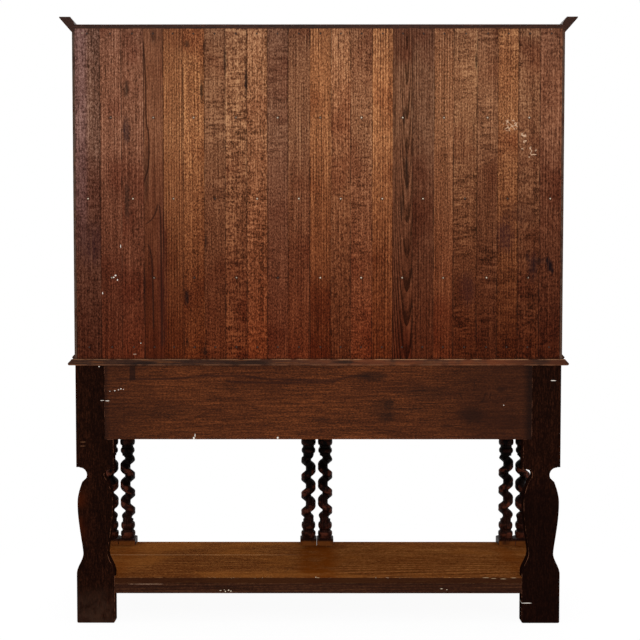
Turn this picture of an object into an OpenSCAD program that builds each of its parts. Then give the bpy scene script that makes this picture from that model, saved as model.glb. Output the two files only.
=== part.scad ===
// Oak dresser with an open plate rack, two long drawers and a pot board.
// Six barley-twist posts stand in pairs along the front, and two flat sawn
// balusters carry the back. The front faces -Y, left and right are as seen
// from the front, and the floor under the middle of the table is the origin.

/* [Table] */
// Width of the table top over its mouldings
table_w = 1618; // [1400:1:1800]
// Depth of the table top, from the wall to its front moulding
table_d = 480; // [440:1:560]
// Height of the table's surface above the floor
table_h = 862; // [820:1:920]
// Thickness of the table top
table_t = 20; // [16:1:26]
// Width of the moulding worked on the table's edge
edge_w = 12; // [8:1:13]
// How far the table stands out past the posts at each end
end_overhang = 24; // [18:1:32]
// How far the table stands out past the posts at the front
front_overhang = 30; // [26:1:45]
// How far the frame stands in from the table's back edge
back_set = 2; // [0:0.5:8]

/* [Rear legs] */
// Width of a rear leg above its neck
leg_w = 121; // [108:1:126]
// Width of a rear leg's foot
foot_w = 123; // [118:1:130]
// Thickness of the plank that the rear legs are sawn from
leg_t = 36; // [30:1:50]
// Height of the straight foot
foot_h = 161; // [150:1:180]
// Radius worn on the lower corners of the foot
foot_worn = 5; // [2:0.5:8]
// Width at the waist
waist_w = 79.6; // [66:0.2:90]
// Height of the waist
waist_z = 230; // [215:1:245]
// Width at the belly
belly_w = 114.4; // [100:0.2:118]
// Height of the belly
belly_z = 394; // [370:1:405]
// Width at the shoulder, under the neck
shoulder_w = 83; // [76:1:90]
// Height of the shoulder
shoulder_z = 463; // [450:1:468]
// Width at the neck
neck_w = 52; // [44:1:58]
// Height of the neck
neck_z = 486; // [483:1:490]
// Radius of the hollow cut at the neck
neck_r = 23.5; // [20:0.5:25]
// Rise of the square step from the hollow to the head of the leg
head_step = 1.5; // [0.5:0.5:6]

/* [Twist posts] */
// Side of the square that each post is turned from
post_s = 60; // [56:1:66]
// Gap between the two posts of a pair
post_gap = 1; // [0.6:0.2:3]
// Height of the square foot of a post
post_foot_h = 176; // [166:1:184]
// Height at which the square head of a post begins
post_head_z = 546; // [530:1:556]
// Length of the turned rings at the foot of the twist
foot_rings = 67; // [66:1:78]
// Length of the turned rings at the head of the twist
head_rings = 66; // [66:1:72]
// Rise of the strand in one full turn
twist_pitch = 65; // [58:0.5:74]
// Radius of the strand
strand_r = 17; // [15:0.5:18]
// How far the strand's centre stands off the post's axis
strand_off = 9.3; // [7:0.1:10]
// A height at which the strand bulges away from its twin
bulge_z = 394; // [380:1:410]
// How much higher the turns of the left-hand twist stand
twin_lift = 6; // [0:1:12]
// How much higher the turns of the left-hand pair's inner post stand
inner_lift = 22; // [0:1:32]

/* [Drawer frame] */
// Height of the back rail and of the end panels
rail_h = 240; // [225:1:250]
// Thickness of the back rail
rail_t = 22; // [18:1:26]
// How far the back rail laps over each rear leg
rail_lap = 27; // [18:1:40]
// Thickness of the end panels and of the rails under the pot board
panel_t = 20; // [16:1:26]
// How far the panels stand in from the faces of the posts
panel_set = 6; // [3:1:10]
// Height of the rail over the drawers
top_rail_h = 24; // [18:1:30]
// Height of the blade under the drawers
blade_h = 20; // [16:1:26]
// Depth of the shaped apron below the blade
apron_h = 38; // [30:1:48]
// Height of the arch sawn in the apron
arch_h = 20; // [12:1:24]
// How far the rails stand in from the faces of the posts
rail_set = 3; // [1:1:6]
// Width of a runner or kicker under or over a drawer side
runner_w = 24; // [18:1:30]
// Height of the guide that keeps a drawer straight
guide_h = 16; // [10:1:24]

/* [Pot board] */
// Height of the pot board's surface above the floor
pot_h = 151; // [140:1:160]
// Thickness of the pot board
pot_t = 20; // [16:1:24]
// Height of the rails under the pot board
pot_rail_h = 33; // [28:1:44]
// How far the board's front edge stands in from the faces of the posts
pot_set = 8; // [4:1:34]
// How far the board oversails the rails under it
pot_nose = 4; // [2:1:8]

/* [Drawers] */
// Clearance beside and over each drawer
drawer_gap = 1.5; // [1:0.1:3]
// Clearance between a drawer and what it slides on
slide_gap = 0.4; // [0.3:0.1:1]
// Thickness of a drawer front
front_t = 20; // [18:1:26]
// Thickness of drawer sides and backs
side_t = 10; // [8:1:14]
// Thickness of a drawer bottom
bottom_t = 6; // [4:0.5:8]
// Depth of the grooves that hold a drawer bottom
groove_d = 5; // [3:0.5:6]
// Height of the groove above the bottom of the drawer
groove_z = 9; // [7:1:14]
// Depth of the laps that join the sides to the front
lap_d = 12; // [8:1:14]
// How far the back of a drawer stops short of the rear legs
drawer_stop = 10; // [6:1:30]
// How much lower the drawer's sides are than its front
side_drop = 3; // [2:1:12]
// Width of the applied moulding
bead_w = 12; // [8:1:16]
// How far the applied moulding stands proud
bead_h = 7; // [4:1:9]
// Margin round each frame of moulding
bead_margin = 18; // [12:1:24]

/* [Pulls] */
// Distance between the two posts of a pull
pull_span = 70; // [60:1:90]
// How far the pull's hinge line stands off the drawer
pull_reach = 13; // [12:0.5:16]
// Radius of the round plates behind the posts
rose_r = 11; // [9:0.5:13]
// Thickness of the plates
rose_t = 2; // [1.5:0.1:3]
// Radius of a post's neck
stem_r = 4; // [3:0.1:5]
// Radius of the knuckle on the end of a post
eye_r = 5.5; // [5:0.1:6.5]
// Length of the knuckle
eye_l = 10; // [8:0.5:12]
// Radius of the pins on which the bail turns
pin_r = 2.2; // [1.8:0.1:2.6]
// Running clearance round the pins
pin_gap = 0.1; // [0.05:0.01:0.15]
// Radius of the bail's rod
bail_r = 2.9; // [2.4:0.1:3.4]
// How far the bail hangs below its hinge line
bail_drop = 34; // [28:1:40]
// Radius of the bail's bends
bail_bend = 12; // [8:1:16]
// Gap between a bail's arm and the head of its post
arm_gap = 1.5; // [1:0.1:3]

/* [Plate rack] */
// How far the rack's sides stand in from the ends of the table
rack_in = 21.5; // [21:0.5:40]
// How far the rack's back stands in from the table's back edge
rack_back_set = 3; // [1:0.5:10]
// Height of the rack, from the table to the top of its top board
rack_h = 1071; // [1000:1:1120]
// Depth of the rack
rack_d = 235; // [200:1:260]
// Thickness of the rack's sides
rack_side_t = 22; // [18:1:26]
// Thickness of the top board
rack_top_t = 20; // [16:1:24]
// Thickness of the shelves
shelf_t = 18; // [15:1:22]
// Height of the low shelf's middle above the table
shelf_low_z = 263; // [240:1:290]
// Height of the middle shelf's middle above the table
shelf_middle_z = 516.5; // [490:0.5:545]
// Height of the high shelf's middle above the table
shelf_high_z = 775; // [745:1:800]
// How far a shelf is let into the sides
shelf_housing = 6; // [3:1:9]
// How far the shelves stand in from the front of the sides
shelf_set = 12; // [6:1:24]
// Width of the groove that stands plates on a shelf
plate_groove_w = 7; // [5:1:10]
// Depth of the plate groove
plate_groove_d = 3; // [2:0.5:5]
// Distance of the plate groove from the back boards
plate_groove_y = 48; // [36:1:70]
// Height of the rails that the back boards are nailed to
nail_rail_h = 60; // [48:1:72]
// Thickness of those rails
nail_rail_t = 18; // [14:1:22]
// Height of the frieze under the cornice
frieze_h = 90; // [76:1:110]
// Thickness of the frieze
frieze_t = 18; // [14:1:22]
// Number of arches sawn in the frieze
frieze_arches = 7; // [5:1:9]
// Height of the arches in the frieze
frieze_rise = 22; // [14:1:30]
// Height of the small moulding at the foot of the rack
foot_mould_h = 15.5; // [12:0.5:20]
// How far that moulding stands out
foot_mould_w = 8; // [6:0.5:10]
// Radius of the dowels that locate the rack on the table
dowel_r = 4; // [3:0.5:5]
// Length of the dowels
dowel_l = 26; // [20:1:30]

/* [Cornice] */
// How far the cornice stands out from the rack
cornice_out = 40; // [30:1:50]
// Height of the cornice
cornice_h = 49; // [40:1:56]
// How far the cornice hangs below the top of the top board
cornice_drop = 25; // [18:1:28]
// Width of the cornice's flat top
cornice_flat = 35; // [25:1:38]
// Depth of the fillet along the cornice's tip
cornice_nose = 3.5; // [2:0.5:6]
// How far the cornice laps onto the top board
cornice_lap = 9; // [6:1:14]

/* [Back boards] */
// Thickness of the back boards
board_t = 10; // [8:1:13]
// Width of the side's edge that shows behind the boards' rebate
board_edge = 8; // [5:1:12]
// How far the boards run up into the top board's rebate
board_up = 6; // [4:1:9]
// Gap between neighbouring boards
board_gap = 0.6; // [0.3:0.1:1.5]
// Length of the tongue on a board's edge
tongue_l = 5; // [3:0.5:6]
// Thickness of the tongue
tongue_t = 3; // [2:0.5:4]
// Radius of a nail's head
nail_head_r = 2.6; // [2:0.1:3.5]
// How far a nail's head stands proud
nail_head_h = 0.8; // [0.4:0.1:1.5]
// Radius of a nail's shank
nail_r = 1.2; // [0.8:0.1:1.6]
// Wood left in front of a nail's point
nail_cover = 2; // [1:0.5:5]
// Distance of the top row of nails from the boards' ends
nail_head_row = 15.5; // [12:0.5:22]
// Height of the bottom row of nails above the table
nail_foot_row = 39; // [20:1:44]

/* [Hidden] */
$fn = 48;

// Relative widths of the random-width back boards, from the right-hand end
board_widths = [80, 68, 72, 62, 64, 68, 67, 69, 66, 66, 70, 68,
                63, 69, 66, 63, 69, 63, 75, 66, 66, 69, 70];
board_count = len(board_widths);

// Colours of the old oak, its darkened frame and the brass
boards_colour = "sienna";
frame_colour = "#3a2216";
twist_colour = "#2a1710";
shelf_colour = "#6b4224";
drawer_wood = "#b08a5a";
brass = "#b08d45";
iron = "#4a4744";

back_y = table_d / 2;
frame_back = back_y - back_set;
frame_front = -table_d / 2 + front_overhang;
frame_x = table_w / 2 - end_overhang;
frame_top = table_h - table_t;
rail_z = frame_top - rail_h;
leg_x = frame_x - leg_w / 2;
leg_front = frame_back - leg_t;
post_y = frame_front + post_s / 2;
post_rear = frame_front + post_s;
post_step = (post_s + post_gap) / 2;
pair_x = frame_x - post_s - post_gap / 2;
bay_in = post_step + post_s / 2;
bay_out = pair_x - bay_in;
panel_x = frame_x - panel_set;
panel_in = panel_x - panel_t;
rail_front = frame_front + rail_set;
twist_z0 = post_foot_h + foot_rings;
twist_z1 = post_head_z - head_rings;
rail_back_face = frame_back - rail_t;
pot_z = pot_h - pot_t;
pot_front = frame_front + pot_set;
pot_rail_z = pot_z - pot_rail_h;
blade_z = frame_top - top_rail_h - drawer_opening();
apron_z = blade_z - blade_h - apron_h;

// The drawers fill the height between the apron and the top rail
function drawer_opening() = rail_h - top_rail_h - blade_h - apron_h;

// Points of a bead, or with a negative swell a hollow, up a turned profile
function swell(r, out, z0, z1) =
    [for (i = [0:8]) [r + out * sin(22.5 * i), z0 + (z1 - z0) * i / 8]];

// Half outline of a rear leg, from the floor up
ease_steps = 12;
function ease(i) = (1 - cos(180 * i / ease_steps)) / 2;
function leg_half() = concat(
    [for (a = [-90:30:0])
        [foot_w / 2 - foot_worn * (1 - cos(a)), foot_worn * (1 + sin(a))]],
    [for (i = [0:ease_steps])
        [foot_w / 2 + (waist_w - foot_w) / 2 * ease(i),
         foot_h + (waist_z - foot_h) * i / ease_steps]],
    [for (i = [1:ease_steps])
        [waist_w / 2 + (belly_w - waist_w) / 2 * pow(sin(90 * i / ease_steps), 1.25),
         waist_z + (belly_z - waist_z) * i / ease_steps]],
    [for (i = [1:ease_steps])
        [shoulder_w / 2 + (belly_w - shoulder_w) / 2 * cos(90 * i / ease_steps),
         belly_z + (shoulder_z - belly_z) * i / ease_steps]],
    [for (i = [0:ease_steps]) let (a = 208 - 118 * i / ease_steps)
        [neck_w / 2 + neck_r * (1 + cos(a)), neck_z + neck_r * sin(a)]],
    [for (x = [neck_w / 2 + neck_r, leg_w / 2]) [x, neck_z + neck_r + head_step]],
    [[leg_w / 2, frame_top]]
);

// A rear leg is a flat plank sawn to a baluster outline and rebated for the rail
module rear_leg(side) {
    color(frame_colour)
    difference() {
        translate([side * leg_x, frame_back, 0])
            rotate([90, 0, 0])
            linear_extrude(height = leg_t)
            polygon(concat(leg_half(),
                [for (i = [len(leg_half()) - 1:-1:0]) [-leg_half()[i][0], leg_half()[i][1]]]));
        mirrored(side)
            translate([leg_x - leg_w, rail_back_face, rail_z])
            cube([leg_w / 2 + rail_lap, leg_t, rail_h + leg_t]);
    }
}

module mirrored(side) {
    mirror([side < 0 ? 1 : 0, 0, 0]) children();
}

// A post: square foot, turned rings, one thick strand twisted up, square head
module post(pair, twin) {
    color(twist_colour)
    translate([pair * pair_x + twin * post_step, post_y, 0]) {
        square_block(0, post_foot_h);
        square_block(post_head_z, frame_top);
        rotate_extrude() polygon(concat(
            [[0, post_foot_h - 1], [25, post_foot_h - 1]],
            swell(24, 2.6, post_foot_h + 5, post_foot_h + 22),
            swell(23, -2.1, post_foot_h + 22, post_foot_h + 32),
            swell(21.5, 4, post_foot_h + 32, post_foot_h + 55),
            [[19.4, post_foot_h + 60], [19.4, twist_z0 + 4], [0, twist_z0 + 4]]));
        rotate_extrude() polygon(concat(
            [[0, twist_z1 - 4], [19.5, twist_z1 - 4], [21, twist_z1 + 5]],
            swell(21.5, 3.9, post_head_z - 59, post_head_z - 41),
            swell(22, -1.4, post_head_z - 41, post_head_z - 30),
            swell(23, 3.9, post_head_z - 30, post_head_z - 6),
            [[25, post_head_z - 4], [25, post_head_z + 1], [0, post_head_z + 1]]));
        mirrored(twin) strand(bulge_z + (twin < 0 ? twin_lift : pair < 0 ? inner_lift : 0));
    }
}

module square_block(z0, z1) {
    translate([-post_s / 2, -post_s / 2, z0]) cube([post_s, post_s, z1 - z0]);
}

// A level cut through a round strand that climbs at a slope is an oval
module strand(peak) {
    rise = twist_z1 - twist_z0;
    slope = 2 * PI * strand_off / twist_pitch;
    translate([0, 0, twist_z0])
        rotate([0, 0, -360 * (peak - twist_z0) / twist_pitch])
        linear_extrude(height = rise, twist = -360 * rise / twist_pitch,
                       slices = round(13 * rise / twist_pitch), $fn = 16)
        translate([strand_off, 0])
        scale([1, sqrt(1 + slope * slope)])
        circle(r = strand_r);
}

// The pot board is notched round every leg and post
module pot_board() {
    color(shelf_colour)
    difference() {
        translate([-panel_x - pot_nose, pot_front, pot_z])
            cube([2 * (panel_x + pot_nose), frame_back - pot_front, pot_t]);
        for (side = [-1, 1]) {
            translate([side * pair_x - bay_in - (side < 0 ? post_s : 0), -table_d, 0])
                cube([2 * bay_in + post_s, table_d + post_rear, table_h]);
            mirrored(side)
                translate([leg_x - foot_w / 2, leg_front, 0])
                cube([2 * foot_w, 2 * leg_t, table_h]);
        }
        translate([-bay_in, -table_d, 0]) cube([2 * bay_in, table_d + post_rear, table_h]);
    }
}

module pot_rail_back() {
    color(frame_colour)
    translate([-leg_x + foot_w / 2, rail_back_face, pot_rail_z])
        cube([2 * leg_x - foot_w, rail_t, pot_rail_h]);
}

module pot_rail_front(side) {
    color(frame_colour)
    mirrored(side)
        translate([bay_in, pot_front + pot_nose, pot_rail_z])
        cube([bay_out - bay_in, panel_t, pot_rail_h]);
}

module pot_rail_end(side) {
    color(frame_colour)
    mirrored(side)
        translate([panel_in, post_rear, pot_rail_z])
        cube([panel_t, leg_front - post_rear, pot_rail_h]);
}

module pot_bearer() {
    color(frame_colour)
    translate([-panel_t, post_rear, pot_rail_z])
        cube([2 * panel_t, rail_back_face - post_rear, pot_rail_h]);
}

module back_rail() {
    color(shelf_colour)
    translate([-leg_x + leg_w / 2 - rail_lap, rail_back_face, rail_z])
        cube([2 * (leg_x - leg_w / 2 + rail_lap), rail_t, rail_h]);
}

module end_panel(side) {
    color(frame_colour)
    mirrored(side)
        translate([panel_in, post_rear, rail_z])
        cube([panel_t, leg_front - post_rear, rail_h]);
}

module top_rail(side) {
    color(frame_colour)
    mirrored(side)
        translate([bay_in, rail_front, frame_top - top_rail_h])
        cube([bay_out - bay_in, post_rear - rail_front, top_rail_h]);
}

// The blade lies flat under a drawer, and the arched apron hangs from its front
module apron_rail(side) {
    bay_w = bay_out - bay_in;
    color(frame_colour)
    mirrored(side)
        translate([bay_in, 0, 0]) {
            translate([0, rail_front, blade_z - blade_h])
                cube([bay_w, post_rear - rail_front, blade_h]);
            translate([0, rail_front + panel_t, apron_z])
                rotate([90, 0, 0])
                linear_extrude(height = panel_t)
                difference() {
                    square([bay_w, apron_h]);
                    translate([3 * arch_h, -1]) square([bay_w - 6 * arch_h, arch_h + 1]);
                    for (x = [3 * arch_h, bay_w - 3 * arch_h]) translate([x, 0]) circle(r = arch_h);
                }
        }
}

// What runs back to the rail is notched where it meets a rear leg
module leg_notch() {
    translate([leg_x - leg_w / 2, leg_front, 0]) cube([2 * leg_w, 2 * leg_t, table_h]);
}

// A side runner has a guide outside the drawer and a stop behind it
module side_runner(side) {
    color(drawer_wood)
    mirrored(side)
        difference() {
            translate([0, post_rear, blade_z]) {
                translate([bay_out - runner_w, 0, -blade_h])
                    cube([2 * runner_w, rail_back_face - post_rear, blade_h]);
                translate([bay_out, 0, 0])
                    cube([runner_w, rail_back_face - post_rear, guide_h]);
                translate([bay_out - runner_w, stop_y - post_rear, 0])
                    cube([2 * runner_w, rail_back_face - stop_y, guide_h]);
            }
            leg_notch();
        }
}

module runner_centre() {
    color(drawer_wood)
    translate([0, post_rear, blade_z]) {
        translate([-bay_in - runner_w, 0, -blade_h])
            cube([2 * (bay_in + runner_w), rail_back_face - post_rear, blade_h]);
        translate([-bay_in, 0, 0])
            cube([2 * bay_in, rail_back_face - post_rear, guide_h]);
        translate([-bay_in - runner_w, stop_y - post_rear, 0])
            cube([2 * (bay_in + runner_w), rail_back_face - stop_y, guide_h]);
    }
}

// Kickers over the drawer sides stop a drawer tipping as it is drawn out
module kickers() {
    color(drawer_wood)
    for (side = [-1, 1])
        mirrored(side)
            difference() {
                translate([bay_out - runner_w, post_rear, frame_top - top_rail_h])
                    cube([runner_w, rail_back_face - post_rear, top_rail_h]);
                leg_notch();
            }
    color(drawer_wood)
    translate([-bay_in - runner_w, post_rear, frame_top - top_rail_h])
        cube([2 * (bay_in + runner_w), rail_back_face - post_rear, top_rail_h]);
}

// Edge of the table: a slope down to a rounded nose, drawn outwards from its arris
nose_r = table_t * 0.25;
function table_edge() = concat(
    [[0, table_t], [2, table_t - 3]],
    [for (a = [60:-30:-90]) [edge_w - nose_r * (1 - cos(a)), nose_r * (1 + sin(a))]]
);

module table_top() {
    arris_x = table_w / 2 - edge_w;
    arris_y = table_d / 2 - edge_w;
    color(frame_colour)
    difference() {
        translate([0, 0, frame_top])
        intersection() {
            translate([0, table_d, 0])
                rotate([90, 0, 0])
                linear_extrude(height = 2 * table_d)
                polygon(concat(
                    [for (p = table_edge()) [arris_x + p[0], p[1]]],
                    [for (i = [len(table_edge()) - 1:-1:0])
                        [-arris_x - table_edge()[i][0], table_edge()[i][1]]]));
            translate([-table_w, 0, 0])
                rotate([90, 0, 90])
                linear_extrude(height = 2 * table_w)
                polygon(concat([[back_y, table_t]],
                    [for (p = table_edge()) [-arris_y - p[0], p[1]]],
                    [[back_y, 0]]));
        }
        dowels();
    }
}

rack_x = table_w / 2 - rack_in;
rack_side_in = rack_x - rack_side_t;
rack_back = back_y - rack_back_set;
rack_front = rack_back - rack_d;
rack_top_z = table_h + rack_h;
rack_top_under = rack_top_z - rack_top_t;
board_front = rack_back - board_t;
board_x = rack_x - board_edge;
board_end_z = rack_top_under + board_up;

// Four dowels stand in the table and locate the rack's sides
module dowels() {
    for (x = [-1, 1], y = [rack_front + rack_d / 5, rack_back - rack_d / 5])
        translate([x * (rack_x - rack_side_t / 2), y, table_h - dowel_l / 2])
            cylinder(r = dowel_r, h = dowel_l);
}

module rack_dowels() {
    color(drawer_wood) dowels();
}

module shelf_block(z, grow) {
    translate([-rack_side_in - grow, rack_front + shelf_set, table_h + z - shelf_t / 2])
        cube([2 * (rack_side_in + grow), board_front - rack_front - shelf_set, shelf_t]);
}

// A rack side is rebated for the back boards and housed for the shelves
module rack_side(side) {
    color(frame_colour)
    difference() {
        mirrored(side)
            translate([rack_side_in, rack_front, table_h])
            cube([rack_side_t, rack_d, rack_top_under - table_h]);
        mirrored(side)
            translate([rack_side_in - 1, board_front, table_h - 1])
            cube([rack_side_t - board_edge + 1, 2 * board_t, rack_h]);
        for (z = [shelf_low_z, shelf_middle_z, shelf_high_z]) shelf_block(z, shelf_housing);
        dowels();
    }
}

module rack_top() {
    color(frame_colour)
    difference() {
        translate([-rack_x, rack_front, rack_top_under])
            cube([2 * rack_x, rack_d, rack_top_t]);
        translate([-board_x, board_front, rack_top_under - 1])
            cube([2 * board_x, 2 * board_t, board_up + 1]);
    }
}

// A shelf is housed in both sides and grooved along its back to stand plates
module shelf(z) {
    color(shelf_colour)
    difference() {
        shelf_block(z, shelf_housing);
        translate([-rack_side_in, board_front - plate_groove_y - plate_groove_w,
                   table_h + z + shelf_t / 2 - plate_groove_d])
            cube([2 * rack_side_in, plate_groove_w, 2 * plate_groove_d]);
    }
}

// The back boards are nailed to a rail along the table and one under the top
module nail_rails() {
    color(shelf_colour)
    for (z = [table_h, rack_top_under - nail_rail_h])
        translate([-rack_side_in, board_front - nail_rail_t, z])
            cube([2 * rack_side_in, nail_rail_t, nail_rail_h]);
}

// The frieze closes the front under the cornice, its lower edge sawn in arches
module rack_frieze() {
    pitch = 2 * rack_side_in / frieze_arches;
    half = pitch * 0.42;
    arch_r = (half * half + frieze_rise * frieze_rise) / (2 * frieze_rise);
    color(frame_colour)
    translate([0, rack_front + frieze_t, rack_top_under - frieze_h])
        rotate([90, 0, 0])
        linear_extrude(height = frieze_t)
        difference() {
            translate([-rack_side_in, 0]) square([2 * rack_side_in, frieze_h]);
            for (i = [0:frieze_arches - 1])
                translate([-rack_side_in + pitch * (i + 0.5), frieze_rise - arch_r])
                    circle(r = arch_r, $fn = 96);
        }
}

// Section of the cornice, drawn outwards from the rack's face
cornice_z = rack_top_z - cornice_drop;
function cornice_section() = [
    [0, 0], [cornice_out, cornice_h - cornice_nose], [cornice_out, cornice_h],
    [cornice_out - cornice_flat, cornice_h],
    [-cornice_lap, cornice_drop + 4], [-cornice_lap, cornice_drop], [0, cornice_drop]
];

// One length of the cornice, mitred at the rack's front corners
module cornice_run(from, to) {
    translate([from, 0, cornice_z])
        rotate([90, 0, 90])
        linear_extrude(height = to - from)
        polygon([for (p = cornice_section()) [-p[0], p[1]]]);
}

module mitre_plan(run) {
    translate([0, 0, cornice_z - 1]) linear_extrude(height = cornice_h + 2) polygon(run);
}

module cornice_front() {
    tip = rack_x + cornice_out;
    inner = rack_x - cornice_lap;
    color(frame_colour)
    translate([0, rack_front, 0])
        intersection() {
            cornice_run(-tip, tip);
            mitre_plan([[-tip, -cornice_out], [tip, -cornice_out],
                        [inner, cornice_lap], [-inner, cornice_lap]]);
        }
}

module cornice_return(side) {
    color(frame_colour)
    mirrored(side)
        translate([rack_x, rack_front, 0])
        intersection() {
            rotate([0, 0, 90]) cornice_run(-cornice_out, rack_d);
            mitre_plan([[cornice_out, -cornice_out], [cornice_out, rack_d],
                        [-cornice_lap, rack_d], [-cornice_lap, cornice_lap]]);
        }
}

// A small moulding hides the joint between each rack side and the table
module rack_foot_mouldings() {
    color(frame_colour)
    for (side = [-1, 1])
        mirrored(side)
            translate([rack_x, rack_back, table_h])
            rotate([90, 0, 0])
            linear_extrude(height = rack_d)
            polygon([[0, 0], [foot_mould_w * 0.5, 0], [foot_mould_w, foot_mould_h * 0.35],
                     [foot_mould_w, foot_mould_h * 0.45], [0, foot_mould_h]]);
}

function sum_to(n) = n <= 0 ? 0 : board_widths[n - 1] + sum_to(n - 1);
function joint_x(n) = board_x - 2 * board_x * sum_to(n) / sum_to(board_count);

// One board of the back, with a tongue on one edge and a groove in the other
module back_board(n) {
    right = joint_x(n) - board_gap / 2;
    left = joint_x(n + 1) + board_gap / 2;
    last = n == board_count - 1;
    length = board_end_z - table_h;
    difference() {
        union() {
            translate([left, board_front, table_h]) cube([right - left, board_t, length]);
            if (!last)
                translate([left - tongue_l, board_front + (board_t - tongue_t) / 2, table_h])
                    cube([tongue_l + 1, tongue_t, length]);
        }
        if (n > 0)
            translate([right - tongue_l - board_gap / 2,
                       board_front + (board_t - tongue_t - board_gap) / 2, table_h - 1])
                cube([tongue_l + board_gap, tongue_t + board_gap, length + 2]);
    }
}

module back_boards() {
    color(boards_colour)
    for (n = [0:board_count - 1]) back_board(n);
}

module nail(n, z) {
    translate([(joint_x(n) + joint_x(n + 1)) / 2, rack_back, z])
        rotate([90, 0, 0]) {
            translate([0, 0, -nail_head_h]) cylinder(r = nail_head_r, h = nail_head_h);
            cylinder(r = nail_r, h = board_t + nail_rail_t - nail_cover);
        }
}

// Nails run along both ends and zigzag across the boards at the shelves
module board_nails() {
    color(iron)
    for (n = [0:board_count - 1]) {
        nail(n, board_end_z - nail_head_row);
        nail(n, table_h + nail_foot_row);
        if (n % 2 == 1) {
            nail(n, table_h + shelf_low_z);
            nail(n, table_h + shelf_high_z);
        } else {
            nail(n, table_h + shelf_middle_z);
        }
    }
}

// A drawer is drawn in its own bay: its left end at 0, its middle at bay_mid
drawer_w = bay_out - bay_in - 2 * drawer_gap;
drawer_z = blade_z + slide_gap;
drawer_h = frame_top - top_rail_h - drawer_gap - drawer_z;
drawer_l = leg_front - drawer_stop - rail_front;
stop_y = leg_front - drawer_stop + slide_gap;
drawer_side_h = drawer_h - side_drop;
bay_mid = (bay_in + bay_out) / 2;

module in_bay(side) {
    translate([side * bay_mid - drawer_w / 2, rail_front, drawer_z]) children();
}

// The space that a drawer bottom takes up in the grooves of the sides and front
module bottom_panel(past_end = 0) {
    translate([side_t - groove_d, front_t - groove_d, groove_z])
        cube([drawer_w - 2 * (side_t - groove_d),
              drawer_l - front_t + groove_d + past_end, bottom_t]);
}

module drawer_front(side) {
    color(shelf_colour)
    in_bay(side)
    difference() {
        cube([drawer_w, front_t, drawer_h]);
        for (x = [-1, drawer_w - side_t])
            translate([x, front_t - lap_d, -1])
                cube([side_t + 1, front_t, drawer_side_h + 1]);
        bottom_panel();
    }
}

module drawer_side(side, at_right) {
    color(drawer_wood)
    in_bay(side)
    difference() {
        translate([at_right ? drawer_w - side_t : 0, front_t - lap_d, 0])
            cube([side_t, drawer_l - front_t + lap_d, drawer_side_h]);
        bottom_panel(1);
    }
}

module drawer_back(side) {
    color(drawer_wood)
    in_bay(side)
    translate([side_t, drawer_l - side_t, groove_z + bottom_t])
        cube([drawer_w - 2 * side_t, side_t, drawer_side_h - groove_z - bottom_t]);
}

module drawer_bottom(side) {
    color(drawer_wood)
    in_bay(side) bottom_panel();
}

// Two mitred frames of half-round moulding are planted on each drawer front
module drawer_beads(side) {
    frame_w = drawer_w / 2 - 1.5 * bead_margin;
    frame_h = drawer_h - 2 * bead_margin;
    color(frame_colour)
    in_bay(side)
    for (x = [bead_margin, drawer_w / 2 + bead_margin / 2])
        translate([x, 0, bead_margin]) {
            bead_length(frame_w);
            translate([frame_w, 0, frame_h]) rotate([0, 180, 0]) bead_length(frame_w);
            translate([frame_w, 0, 0]) rotate([0, -90, 0]) bead_length(frame_h);
            translate([0, 0, frame_h]) rotate([0, 90, 0]) bead_length(frame_h);
        }
}

module bead_length(length) {
    intersection() {
        rotate([90, 0, 90])
            linear_extrude(height = length)
            polygon([for (i = [0:12])
                [-bead_h * sin(15 * i), bead_w / 2 * (1 - cos(15 * i))]]);
        translate([0, 1, 0])
            rotate([90, 0, 0])
            linear_extrude(height = bead_h + 2)
            polygon([[0, 0], [length, 0], [length - bead_w, bead_w], [bead_w, bead_w]]);
    }
}

// A pull sits in the middle of each frame of moulding
hinge_z = drawer_h / 2 + bail_drop / 2;
arm_x = pull_span / 2 + eye_l / 2 + arm_gap + bail_r;
function pull_x(first) = drawer_w / 2 + (first ? -1 : 1) * (drawer_w - bead_margin) / 4;

module at_pull(side, first) {
    in_bay(side) translate([pull_x(first), -pull_reach, hinge_z]) children();
}

// Each pull hangs on two brass posts with round plates behind them
module pull_posts(side) {
    color(brass)
    for (first = [true, false], end = [-1, 1])
        at_pull(side, first)
        translate([end * pull_span / 2, 0, 0])
        difference() {
            union() {
                translate([0, pull_reach, 0]) rotate([90, 0, 0]) {
                    cylinder(r = rose_r, h = rose_t);
                    cylinder(r = stem_r, h = pull_reach - pin_r);
                }
                rotate([0, 90, 0]) cylinder(r = eye_r, h = eye_l, center = true);
            }
            rotate([0, 90, 0]) cylinder(r = pin_r + pin_gap, h = 2 * eye_l, center = true);
        }
}

// The bail is one bent rod whose turned-in ends are the pins that it swings on
module pull(side, first) {
    bar_l = 2 * (arm_x - bail_bend);
    color(brass)
    at_pull(side, first) {
        for (end = [-1, 1]) mirrored(end) {
            translate([(pull_span - eye_l) / 2, 0, 0])
                rotate([0, 90, 0]) cylinder(r = pin_r, h = arm_x - (pull_span - eye_l) / 2);
            translate([arm_x, 0, bail_bend - bail_drop])
                cylinder(r = bail_r, h = bail_drop - bail_bend);
            translate([arm_x, 0, 0]) sphere(r = bail_r);
            translate([arm_x - bail_bend, 0, bail_bend - bail_drop])
                rotate([90, 0, 0])
                rotate_extrude(angle = -90)
                translate([bail_bend, 0])
                circle(r = bail_r);
        }
        translate([-bar_l / 2, 0, -bail_drop]) rotate([0, 90, 0]) cylinder(r = bail_r, h = bar_l);
    }
}

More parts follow.
